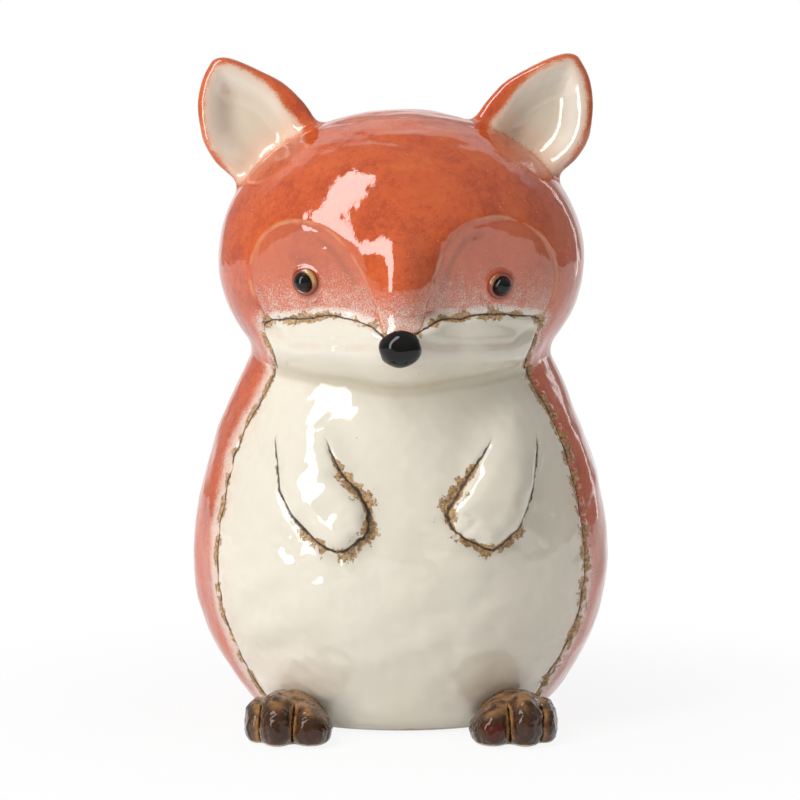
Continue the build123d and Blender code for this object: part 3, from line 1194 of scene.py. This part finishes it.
def soft_box(name, place, size, radiance):
    """A flat lamp that faces the fox."""
    bpy.ops.object.light_add(type="AREA", location=place)
    lamp = bpy.context.object
    lamp.name = name
    lamp.data.shape = "RECTANGLE"
    lamp.data.size, lamp.data.size_y = size
    lamp.data.energy = radiance * size[0] * size[1] * math.pi
    aim = Vector(LAMP_AIM) - Vector(place)
    lamp.rotation_euler = aim.to_track_quat("-Z", "Y").to_euler()


class FOX_OT_stage(bpy.types.Operator):
    """Set the floor, the room, the lamps and the camera"""

    bl_idname = "fox.stage"
    bl_label = "Stage"

    def execute(self, context):
        scene = context.scene
        sizes = scene.fox_studio
        scene.view_settings.view_transform = "Standard"
        bpy.ops.mesh.primitive_plane_add(size=FLOOR_SIZE, location=(0, 0, -FLOOR_DROP))
        floor = bpy.context.object
        floor.name = "studio_floor"
        floor.data.materials.append(floor_paint())

        scene.world = bpy.data.worlds.new("pale_room")
        room_light(scene.world, sizes.fill_strength)
        soft_box("key_soft_box", KEY_PLACE, KEY_SIZE, sizes.key_strength)
        soft_box("side_strip", STRIP_PLACE, STRIP_SIZE, sizes.strip_strength)

        bpy.ops.object.camera_add(location=CAMERA_PLACE)
        camera = bpy.context.object
        camera.name = "front_camera"
        camera.rotation_euler = (math.radians(90 - CAMERA_TILT), 0, 0)
        camera.data.lens = sizes.lens
        camera.data.sensor_width = CAMERA_SENSOR
        scene.camera = camera
        return {"FINISHED"}


# Glazes


class Amount:
    """A number that varies over a surface. Sums written on it add Math nodes to its finish."""

    def __init__(self, finish, socket):
        self.finish = finish
        self.socket = socket

    def sum(self, operation, *terms, clamp=False):
        node = self.finish.node("Math", {"operation": operation, "use_clamp": clamp}, dict(enumerate(terms)))
        return Amount(self.finish, node.outputs[0])

    def __add__(self, other):
        return self.sum("ADD", self, other)

    def __radd__(self, other):
        return self.sum("ADD", other, self)

    def __sub__(self, other):
        return self.sum("SUBTRACT", self, other)

    def __rsub__(self, other):
        return self.sum("SUBTRACT", other, self)

    def __mul__(self, other):
        return self.sum("MULTIPLY", self, other)

    def __rmul__(self, other):
        return self.sum("MULTIPLY", other, self)

    def __pow__(self, other):
        return self.sum("POWER", self, other)

    def __abs__(self):
        return self.sum("ABSOLUTE", self)

    def most(self, other):
        return self.sum("MAXIMUM", self, other)

    def clear(self):
        """Held between 0 and 1."""
        return self.sum("ADD", self, 0.0, clamp=True)

    def eased(self, start, end):
        """0 at start, 1 at end, and smooth between them."""
        if isinstance(start, Amount) or isinstance(end, Amount) or start < end:
            low, high, first, last = start, end, 0.0, 1.0
        else:
            low, high, first, last = end, start, 1.0, 0.0
        node = self.finish.node(
            "MapRange",
            {"interpolation_type": "SMOOTHSTEP"},
            {"Value": self, "From Min": low, "From Max": high, "To Min": first, "To Max": last},
        )
        return Amount(self.finish, node.outputs[0])


class Finish:
    """One material, or the room's light, and its nodes."""

    def __init__(self, name, owner=None, coordinates="Object"):
        self.material = owner or bpy.data.materials.new(name)
        self.material.use_nodes = True
        self.tree = self.material.node_tree
        self.tree.nodes.clear()
        scaled = {"Vector": self.node("TexCoord").outputs[coordinates], "Scale": 1 / MM}
        self.place = self.node("VectorMath", {"operation": "SCALE"}, scaled).outputs[0]
        apart = self.node("SeparateXYZ", {}, {"Vector": self.place})
        self.across, self.back, self.up = (Amount(self, socket) for socket in apart.outputs)

    def node(self, kind, settings=None, values=None):
        node = self.tree.nodes.new(f"ShaderNode{kind}")
        for name, value in (settings or {}).items():
            setattr(node, name, value)
        for name, value in (values or {}).items():
            socket = node.inputs[name]
            if isinstance(value, Amount):
                value = value.socket
            if isinstance(value, bpy.types.NodeSocket):
                self.tree.links.new(value, socket)
            else:
                socket.default_value = value
        return node

    def mark(self, name):
        """A distance kept on the clay's points."""
        return Amount(self, self.node("Attribute", {"attribute_name": name}).outputs["Fac"])

    def shifted(self, shift):
        """The place in millimetres, moved so that patterns of one kind don't lie on each other."""
        if not shift:
            return self.place
        return self.node("VectorMath", {"operation": "ADD"}, {0: self.place, 1: (shift,) * 3}).outputs[0]

    def cloud(self, size, detail=2.0, roughness=0.5, shift=0.0):
        """Uneven shading with lumps of about this size in millimetres, 0.5 on average."""
        values = {"Scale": 1.0 / size, "Detail": detail, "Roughness": roughness}
        node = self.node("TexNoise", {}, {"Vector": self.shifted(shift)} | values)
        return Amount(self, node.outputs[0])

    def uneven(self, reach, size, *shape, **shift):
        """Uneven shading about zero, up to half of this reach either way."""
        return (self.cloud(size, *shape, **shift) - 0.5) * reach

    def cells(self, size, shift=0.0):
        """Distance from the nearest of scattered points, in shares of their spacing."""
        node = self.node("TexVoronoi", {}, {"Vector": self.shifted(shift), "Scale": 1.0 / size})
        return Amount(self, node.outputs["Distance"])

    def met_by(self, kind):
        """1 where a ray of this kind meets the surface."""
        return Amount(self, self.node("LightPath").outputs[f"Is {kind} Ray"])

    def mix(self, share, first, second):
        """A colour between two colours."""
        ends = [(*end, 1.0) if isinstance(end, tuple) else end for end in (first, second)]
        values = {0: share, 6: ends[0], 7: ends[1]}
        return self.node("Mix", {"data_type": "RGBA", "clamp_factor": True}, values).outputs[2]

    def glossy(self, colour, roughness, bumps, ior=1.75):
        """A glazed surface: its colour under a clear gloss that follows the small bumps, in millimetres."""
        bump = self.node("Bump", {}, {"Strength": 1.0, "Distance": MM, "Height": bumps}).outputs[0]
        values = {"Base Color": colour, "Roughness": roughness, "IOR": ior, "Normal": bump}
        skin = self.node("BsdfPrincipled", {}, values)
        self.node("OutputMaterial", {}, {"Surface": skin.outputs[0]})
        return self.material


# Shades that the glazes break, pool and thin to, and a few shades painted in for light and shade
SHADES = {
    "worn_rust": (0.74, 0.40, 0.24),
    "patch_rust": (0.56, 0.165, 0.095),
    "patch_rim": (0.70, 0.27, 0.10),
    # Partly painted shade: darker rust along the fold inside the eye patches
    "fold_rust_and_shade": (0.33, 0.085, 0.030),
    "pink_slip": (0.80, 0.60, 0.50),
    "white_slip": (0.84, 0.74, 0.65),
    "warm_cream": (0.80, 0.66, 0.50),
    "grey_cream": (0.62, 0.60, 0.50),
    # Painted light: a paler cream for the belly above the feet
    "painted_light_cream": (0.97, 0.90, 0.77),
    "blush": (0.80, 0.52, 0.42),
    # Partly painted shade: the pink, darker crease of the mouth fold
    "mouth_blush_and_shade": (0.72, 0.46, 0.33),
    "neck_pool": (0.50, 0.42, 0.27),
    "foot_line": (0.20, 0.11, 0.05),
    "pinhole": (0.22, 0.15, 0.08),
    "dark_crust": (0.085, 0.036, 0.012),
    # Partly painted shade: darker cream in the deep middle of an ear's cup
    "cup_pool_and_shade": (0.62, 0.50, 0.34),
    "cup_edge": (0.70, 0.46, 0.33),
    "peach": (0.84, 0.54, 0.38),
    "black": (0.003, 0.0025, 0.0025),
    "black_break": (0.016, 0.006, 0.004),
    "lid_red": (0.24, 0.036, 0.012),
    "lid_gold": (0.52, 0.30, 0.11),
    "toe_red": (0.11, 0.010, 0.005),
    "toe_tan": (0.20, 0.10, 0.035),
    "dry_edge": (0.66, 0.55, 0.38),
    "dark_clay": (0.44, 0.34, 0.24),
    "light_clay": (0.60, 0.49, 0.36),
    "sand": (0.24, 0.16, 0.10),
}


def colours():
    """The glaze colours that can be changed, and the shades that go with them."""
    glazes = bpy.context.scene.fox_glazes
    return SHADES | {name: tuple(getattr(glazes, name)) for name in GlazeColours.__annotations__}


def rust(finish, tint):
    """Red-orange glaze: deeper where it pools, orange where it is thin, with a fine grain."""
    broad = finish.cloud(14, 3.0, 0.55)
    small = finish.cloud(2.6, 4.0, 0.62, shift=40)
    grain = finish.cloud(0.7, 2.0, 0.6, shift=80)
    depth = broad * 0.40 + small * 0.35 + grain * 0.25
    colour = finish.mix(depth.eased(0.38, 0.55), tint["rust_deep"], tint["rust"])
    colour = finish.mix(depth.eased(0.53, 0.68) * 0.7, colour, tint["rust_thin"])
    fleck_places = finish.cloud(6, 1.0, 0.5, shift=5).eased(0.5, 0.62)
    flecks = finish.cells(2.4, shift=15).eased(0.16, 0.07) * fleck_places
    return finish.mix(flecks * 0.5, colour, tint["worn_rust"])


def cream(finish, tint):
    """Cream glaze with faint warm clouds, tinted pools and a few pinholes."""
    warm = finish.cloud(20, 3.0, 0.55, shift=7).eased(0.45, 0.72)
    colour = finish.mix(warm * 0.16, tint["cream"], tint["warm_cream"])
    grey = finish.cloud(9, 3.0, 0.6, shift=23).eased(0.5, 0.75)
    colour = finish.mix(grey * 0.10, colour, tint["grey_cream"])
    pinhole_places = finish.cloud(16, 1.0, 0.5, shift=60).eased(0.50, 0.58)
    pinholes = finish.cells(7.5, shift=3).eased(0.035, 0.022) * pinhole_places
    return finish.mix(pinholes * 0.8, colour, tint["pinhole"])


def sprayed(finish, amount):
    """How much of the white slip covers the rust, as a fine spray that is denser where there is more."""
    spray = amount * 1.1 + finish.uneven(1.15, 0.5, 2.0, 0.7, shift=11) + finish.uneven(0.3, 3.5, shift=12)
    return spray.eased(0.22, 0.90) * (amount * 12.0).clear()


def stained(finish, tint, colour, edge, strength, crust=1.0, reach=2.2):
    """Adds the dark line scored along a joint and the dry golden crust beside it.

    Gives the colour and how dry the surface is there.
    """
    wander = finish.uneven(1.2, 7, shift=31) + finish.uneven(1.0, 1.6, 2.0, 0.6, shift=33)
    gap = abs(edge + wander)
    width = finish.cloud(4.5, shift=35)
    line = gap.eased(width * 0.75 + 0.12, width * 0.25) * strength
    patchy = finish.cloud(6.0, 2.0, 0.55, shift=37).eased(0.36, 0.62) * 0.9 + 0.1
    ragged = finish.cloud(1.2, 3.0, 0.7, shift=39)
    far = patchy * reach * crust * (ragged * 2.6 - 0.35)
    crusty = abs(edge + wander * 0.5).eased(far + 0.2, far - 0.15) * strength * (far * 3.0).clear()
    shade = finish.cloud(1.1, 3.0, 0.7, shift=41)
    dry = finish.mix(shade.eased(0.34, 0.46), tint["dark_crust"], tint["amber"])
    dry = finish.mix(shade.eased(0.48, 0.60) * 0.9, dry, tint["gold"])
    colour = finish.mix(crusty.clear() * 0.9, colour, dry)
    colour = finish.mix(line.clear() * 0.95, colour, tint["stain"])
    return colour, crusty.clear().most(line.clear() * 0.6)


def creamed_ear(finish, tint, colour):
    """Adds the cream in the cup of an ear, which turns to peach and fades in speckles on the head below."""
    edge = finish.mark("ear_edge")
    joint = finish.mark("ear_joint")
    uneven = finish.uneven(1.8, 5, shift=81)
    low = joint.eased(9.0, 0.0)
    cup = (edge + uneven + low * 2.2).eased(-2.6, 2.2)
    rim = edge.eased(-3.2, -0.6) * joint.eased(-7.0, 0.0)
    colour = finish.mix(rim * 0.4, colour, tint["rust_thin"])
    # Darker cream towards the deep middle of the cup: partly glaze pooled in the hollow, partly painted
    # shade.
    inner = finish.mix(edge.eased(4.0, 10.0) * 0.45, cream(finish, tint), tint["cup_pool_and_shade"])
    inner = finish.mix(edge.eased(4.5, 0.0) * 0.7, inner, tint["cup_edge"])
    inner = finish.mix(low * 0.65, inner, tint["peach"])
    return finish.mix(sprayed(finish, cup * joint.eased(-6.5, 3.5)), colour, inner)


def orange_peel(finish, amount):
    """The slight unevenness of fired glaze, in millimetres."""
    return finish.cloud(2.4, shift=51) * amount * 2.0 + finish.cloud(0.8, shift=53) * amount


def crusty_gloss(finish, colour, dry, smooth, peel, ior=1.75):
    """A glazed surface that turns dull and grainy where its dry crust lies."""
    grain = dry * (finish.cloud(0.7, 3.0, 0.7, shift=41) * 0.28)
    return finish.glossy(colour, dry * 0.45 + smooth, orange_peel(finish, peel) + grain, ior)


def coat_glaze():
    """Rust glaze of the back, fading to speckled pink at the side seam, with less pink on the fox's left as
    painted shade.
    """
    finish = Finish("rust_coat_glaze")
    tint = colours()
    edge = finish.mark("belly_edge")
    # Painted shade: the white spray is thinned on the upper part of the fox's left, away from the key lamp,
    # so that side reads darker.
    pale = finish.across.eased(30, -30).most(finish.up.eased(85, 40)) * 0.7 + 0.3
    near = (edge.eased(11, 0.5) * 0.62 + edge.eased(26, 6) * 0.18) * pale
    white = sprayed(finish, near + finish.uneven(0.25, 9, shift=71))
    colour = finish.mix(white, rust(finish, tint), tint["pink_slip"])
    strength = finish.mark("neck_edge").eased(-1, 1.5)
    thick = finish.across.eased(-10, 10) * 0.9 + 1.0
    colour, dry = stained(finish, tint, colour, edge, strength, thick, 2.6)
    return crusty_gloss(finish, colour, dry, 0.07, 0.016)


def belly_glaze():
    """Cream glaze of the belly and arms, with painted light above the feet to lift their shade, and stained
    along the scored joints.
    """
    finish = Finish("cream_belly_glaze")
    tint = colours()
    edge = finish.mark("belly_edge")
    colour = cream(finish, tint)
    blush = edge.eased(-13, -0.5) * finish.cloud(5, 3.0, 0.6, shift=73).eased(0.35, 0.7)
    colour = finish.mix(blush * 0.35, colour, tint["blush"])
    uneven = finish.uneven(5.0, 6, shift=75)
    foot = finish.mark("foot_edge")
    # Painted light: the cream is painted paler above and round the feet, to lift the shade the feet cast on
    # the belly.
    colour = finish.mix((foot + uneven).eased(20.0, 5.0) * 0.9, colour, tint["painted_light_cream"])
    halo = (foot + uneven * 0.3).eased(3.2, 1.4)
    colour = finish.mix(halo * 0.35, colour, tint["ochre"])
    bottom = (finish.up + uneven * 0.4).eased(5.0, 0.5)
    colour = finish.mix(bottom * 0.25, colour, tint["ochre"])
    colour = finish.mix((finish.up + uneven * 0.1).eased(1.5, 0.5) * 0.75, colour, tint["foot_line"])
    pool = abs(finish.mark("neck_edge")).eased(4.5, 0.3)
    colour = finish.mix(pool * 0.55, colour, tint["neck_pool"])
    strength = finish.mark("neck_edge").eased(-1, 1.5)
    thick = finish.across.eased(-10, 10) * 0.6 + 0.9
    colour, dry = stained(finish, tint, colour, edge, strength, thick, 2.4)
    paw = finish.up.eased(106, 100)
    heavy = finish.mark("arm_out").eased(2, -8).most(finish.up.eased(76, 69)) * finish.up.eased(100, 92)
    colour, arm_dry = stained(finish, tint, colour, finish.mark("arm_edge"), paw, heavy * 0.9 + 0.1, 3.2)
    dry = dry.most(arm_dry)
    return crusty_gloss(finish, colour, dry, 0.06, 0.010, ior=1.62)


def tail_glaze():
    """Rust glaze of the brush and cream glaze of the tip, which meet in speckles over the stained joint."""
    finish = Finish("rust_and_cream_tail_glaze")
    tint = colours()
    edge = finish.mark("tail_edge")
    on_tail = finish.mark("tail_joint") + finish.uneven(2.0, 4, shift=83)
    pale = edge.eased(3.5, -0.5) * on_tail.eased(0.6, 2.4)
    colour = finish.mix(sprayed(finish, pale), rust(finish, tint), cream(finish, tint))
    colour, dry = stained(finish, tint, colour, edge, on_tail.eased(0.6, 1.8), 1.0, 2.0)
    return crusty_gloss(finish, colour, dry, 0.07, 0.014)


def crown_glaze():
    """Rust glaze of the head, sprayed with white slip over the eye patches and down to the nose."""
    finish = Finish("rust_crown_glaze")
    tint = colours()
    patch = finish.mark("patch_edge")
    muzzle = finish.mark("muzzle_edge")
    colour = rust(finish, tint)
    front = finish.back.eased(-8, -20)
    eye = finish.mark("eye_edge")
    aside = abs(finish.across)
    within = patch.eased(0.7, -0.9) * front
    colour = finish.mix(within * 0.45, colour, tint["patch_rust"])
    wander = finish.uneven(1.6, 7, shift=61)
    rim = abs(patch - 0.7 + wander * 0.5).eased(1.1, 0.2) * finish.cloud(11, shift=63).eased(0.38, 0.6)
    colour = finish.mix(rim * front * 0.7, colour, tint["patch_rim"])
    # Darker rust along the fold inside each eye patch: partly a darker line in the glaze, partly painted
    # shade in the fold.
    fold = abs(patch + 4.4 + wander).eased(2.2, 0.2) * finish.up.eased(150, 160) * aside.eased(32, 25)
    colour = finish.mix(fold * within * 0.5, colour, tint["fold_rust_and_shade"])
    low = muzzle.eased(6.5, 0.6)
    high = muzzle.eased(27, 3) * 0.36
    patch_white = within * (low * 0.78).most(high)
    blaze = (1.0 - within) * finish.up.eased(166, 142) * aside.eased(17, 9) * 0.5
    corner = (1.0 - within) * muzzle.eased(10, 0.5) * 0.55 * front
    white = patch_white.most(blaze).most(corner) * eye.eased(-0.6, 1.4)
    white = sprayed(finish, white + finish.cloud(8, shift=77) * 0.06)
    colour = finish.mix(white * front, colour, tint["white_slip"])
    colour = creamed_ear(finish, tint, colour)
    strength = finish.up.eased(121, 128) * front
    colour, dry = stained(finish, tint, colour, muzzle, strength, 1.0, 2.5)
    return crusty_gloss(finish, colour, dry, 0.05, 0.016)


def muzzle_glaze():
    """Cream glaze of the muzzle, with its stained top edge and the fold of the mouth, tinted pink and painted
    darker as shade.
    """
    finish = Finish("cream_muzzle_glaze")
    tint = colours()
    muzzle = finish.mark("muzzle_edge")
    colour = cream(finish, tint)
    mouth_up = abs(finish.across).eased(36, 46) * 4.2 + 136.8
    # The mouth fold is tinted pink and darkened: partly a pink tint in the glaze, partly painted shade in the
    # crease.
    fold = abs(finish.up - mouth_up).eased(2.6, 0.2) * finish.cloud(9, shift=79).eased(0.25, 0.7)
    colour = finish.mix(fold * 0.30, colour, tint["mouth_blush_and_shade"])
    pool = abs(finish.mark("neck_edge")).eased(5.5, 0.4)
    colour = finish.mix(pool * 0.6, colour, tint["neck_pool"])
    strength = finish.up.eased(121, 128)
    colour, dry = stained(finish, tint, colour, muzzle, strength, 1.0, 2.0)
    return crusty_gloss(finish, colour, dry, 0.06, 0.010)


def ear_glaze():
    """Rust glaze outside, cream in the cup, fading to rust at the root."""
    finish = Finish("rust_ear_glaze")
    tint = colours()
    colour = creamed_ear(finish, tint, rust(finish, tint))
    return finish.glossy(colour, 0.05, orange_peel(finish, 0.016))


def black_glaze():
    """Black glaze with a faint brown break."""
    finish = Finish("black_bead_glaze")
    tint = colours()
    brown = finish.cloud(4.0, 3.0, 0.6, shift=91).eased(0.55, 0.75)
    colour = finish.mix(brown * 0.5, tint["black"], tint["black_break"])
    return finish.glossy(colour, 0.04, orange_peel(finish, 0.006), ior=1.42)


def eye_rim_glaze():
    """Red-brown glaze of the rolled lids, gold where it is thin."""
    finish = Finish("amber_rim_glaze")
    tint = colours()
    patchy = finish.uneven(0.9, 1.6, 3.0, 0.6, shift=93) + finish.mark("lid_turn")
    colour = finish.mix(patchy.eased(0.45, 0.9), tint["lid_red"], tint["lid_gold"])
    return finish.glossy(colour, 0.10, orange_peel(finish, 0.010))


def foot_glaze():
    """Brown glaze, dark in the grooves and honey where it breaks beside them, with a dry cream edge below."""
    finish = Finish("brown_foot_glaze")
    tint = colours()
    groove = finish.mark("groove")
    rise = finish.mark("rise")
    uneven = finish.uneven(2.4, 2.0, 3.0, 0.65, shift=95)
    patchy = finish.cloud(5.0, shift=96).eased(0.34, 0.58)
    beside = (groove + uneven).eased(2.8, 0.7) * (patchy * 0.70 + 0.25)
    top = (rise + uneven * 0.10).eased(0.55, 0.90) * patchy * 0.6
    mottled = finish.cloud(2.2, 4.0, 0.7, shift=97).eased(0.52, 0.80)
    red = finish.cloud(7.5, 1.0, 0.5, shift=99).eased(0.60, 0.70) * groove.eased(1.5, 3.0)
    colour = finish.mix(red * 0.6, tint["brown"], tint["toe_red"])
    colour = finish.mix(mottled * 0.35, colour, tint["toe_tan"])
    colour = finish.mix(beside.most(top) * 0.85, colour, tint["honey"])
    colour = finish.mix((groove + uneven * 0.2).eased(0.8, 0.2), colour, tint["stain"])
    bare = (finish.up + uneven * 0.25).eased(1.3, 0.7)
    colour = finish.mix(bare, colour, tint["dry_edge"])
    return finish.glossy(colour, bare * 0.5 + 0.05, orange_peel(finish, 0.012), ior=1.42)


def bare_clay():
    """Unglazed stoneware with a sandy grain."""
    finish = Finish("bare_stoneware")
    tint = colours()
    broad = finish.cloud(12, 3.0, 0.6)
    colour = finish.mix(broad.eased(0.35, 0.7), tint["dark_clay"], tint["light_clay"])
    sand = finish.cells(1.1).eased(0.25, 0.1) * finish.cloud(4, shift=9).eased(0.45, 0.6)
    colour = finish.mix(sand * 0.6, colour, tint["sand"])
    grit = finish.cloud(0.9, 3.0, 0.6) * 0.12
    return finish.glossy(colour, broad * 0.1 + 0.7, grit, ior=1.45)


def floor_paint():
    """Pale floor that keeps a soft shadow near the fox and is plain white further off."""
    finish = Finish("pale_floor")
    lit = finish.node("BsdfDiffuse", {}, {"Color": (0.92, 0.92, 0.92, 1.0)}).outputs[0]
    plain = finish.node("Emission", {}, {"Color": (1.0, 1.0, 1.0, 1.0), "Strength": 1.0}).outputs[0]
    seen = finish.met_by("Camera").most(finish.met_by("Glossy")).most(finish.met_by("Transmission"))
    far = ((finish.across * finish.across + finish.back * finish.back) ** 0.5).eased(60, 260)
    share = seen * (far * 0.11 + 0.89)
    both = finish.node("MixShader", {}, {0: share, 1: lit, 2: plain}).outputs[0]
    finish.node("OutputMaterial", {}, {"Surface": both})
    return finish.material


def room_light(room, strength):
    """Pale light from above and behind, dimmer from the front, and plain white where the room is seen."""
    finish = Finish("pale_room", room, "Generated")
    ceiling = finish.back.eased(380, 450) * finish.up.eased(450, 700)
    behind = finish.back.eased(850, 930).most(ceiling)
    above = finish.up.eased(-100, 700)
    level = (finish.back.eased(-100, 500).most(above) * 0.40 + 0.60) * strength
    pale = finish.node("Background", {}, {"Color": (1.0, 0.985, 0.96, 1.0), "Strength": level}).outputs[0]
    white = finish.node("Background", {}, {"Color": (1.0, 1.0, 1.0, 1.0), "Strength": 1.0}).outputs[0]
    mirrored = finish.met_by("Glossy").most(finish.met_by("Transmission")) * behind
    seen = finish.met_by("Camera").most(mirrored)
    both = finish.node("MixShader", {}, {0: seen, 1: pale, 2: white}).outputs[0]
    finish.node("OutputWorld", {}, {"Surface": both})


class FOX_PT_maker(bpy.types.Panel):
    """The fox's sizes, glazes and steps"""

    bl_idname = "FOX_PT_maker"
    bl_label = "Fox Figurine"
    bl_space_type = "VIEW_3D"
    bl_region_type = "UI"
    bl_category = "Fox"

    def draw(self, context):
        layout = self.layout
        for group in (context.scene.fox_clay, context.scene.fox_glazes, context.scene.fox_studio):
            box = layout.box()
            for name in group.__annotations__:
                box.prop(group, name)
        for operator in OPERATORS:
            layout.operator(operator.bl_idname)


GROUPS = {"fox_clay": ClaySizes, "fox_glazes": GlazeColours, "fox_studio": StudioSizes}
OPERATORS = (
    FOX_OT_clay_form,
    FOX_OT_body,
    FOX_OT_head,
    FOX_OT_ears,
    FOX_OT_arms,
    FOX_OT_tail,
    FOX_OT_nose,
    FOX_OT_eyes,
    FOX_OT_feet,
    FOX_OT_bare_clay,
    FOX_OT_stage,
)
CLASSES = (*GROUPS.values(), *OPERATORS, FOX_PT_maker)


def register():
    for cls in CLASSES:
        bpy.utils.register_class(cls)
    for name, group in GROUPS.items():
        setattr(bpy.types.Scene, name, PointerProperty(type=group))


def unregister():
    for name in GROUPS:
        delattr(bpy.types.Scene, name)
    for cls in reversed(CLASSES):
        bpy.utils.unregister_class(cls)


def main():
    """Makes the whole fox and its studio."""
    register()
    bpy.ops.fox.clay_form()
    bpy.ops.fox.body()
    bpy.ops.fox.head()
    bpy.ops.fox.ears()
    bpy.ops.fox.arms()
    bpy.ops.fox.tail()
    bpy.ops.fox.nose()
    bpy.ops.fox.eyes()
    bpy.ops.fox.feet()
    bpy.ops.fox.bare_clay()
    bpy.ops.fox.stage()


if __name__ == "__main__":
    main()
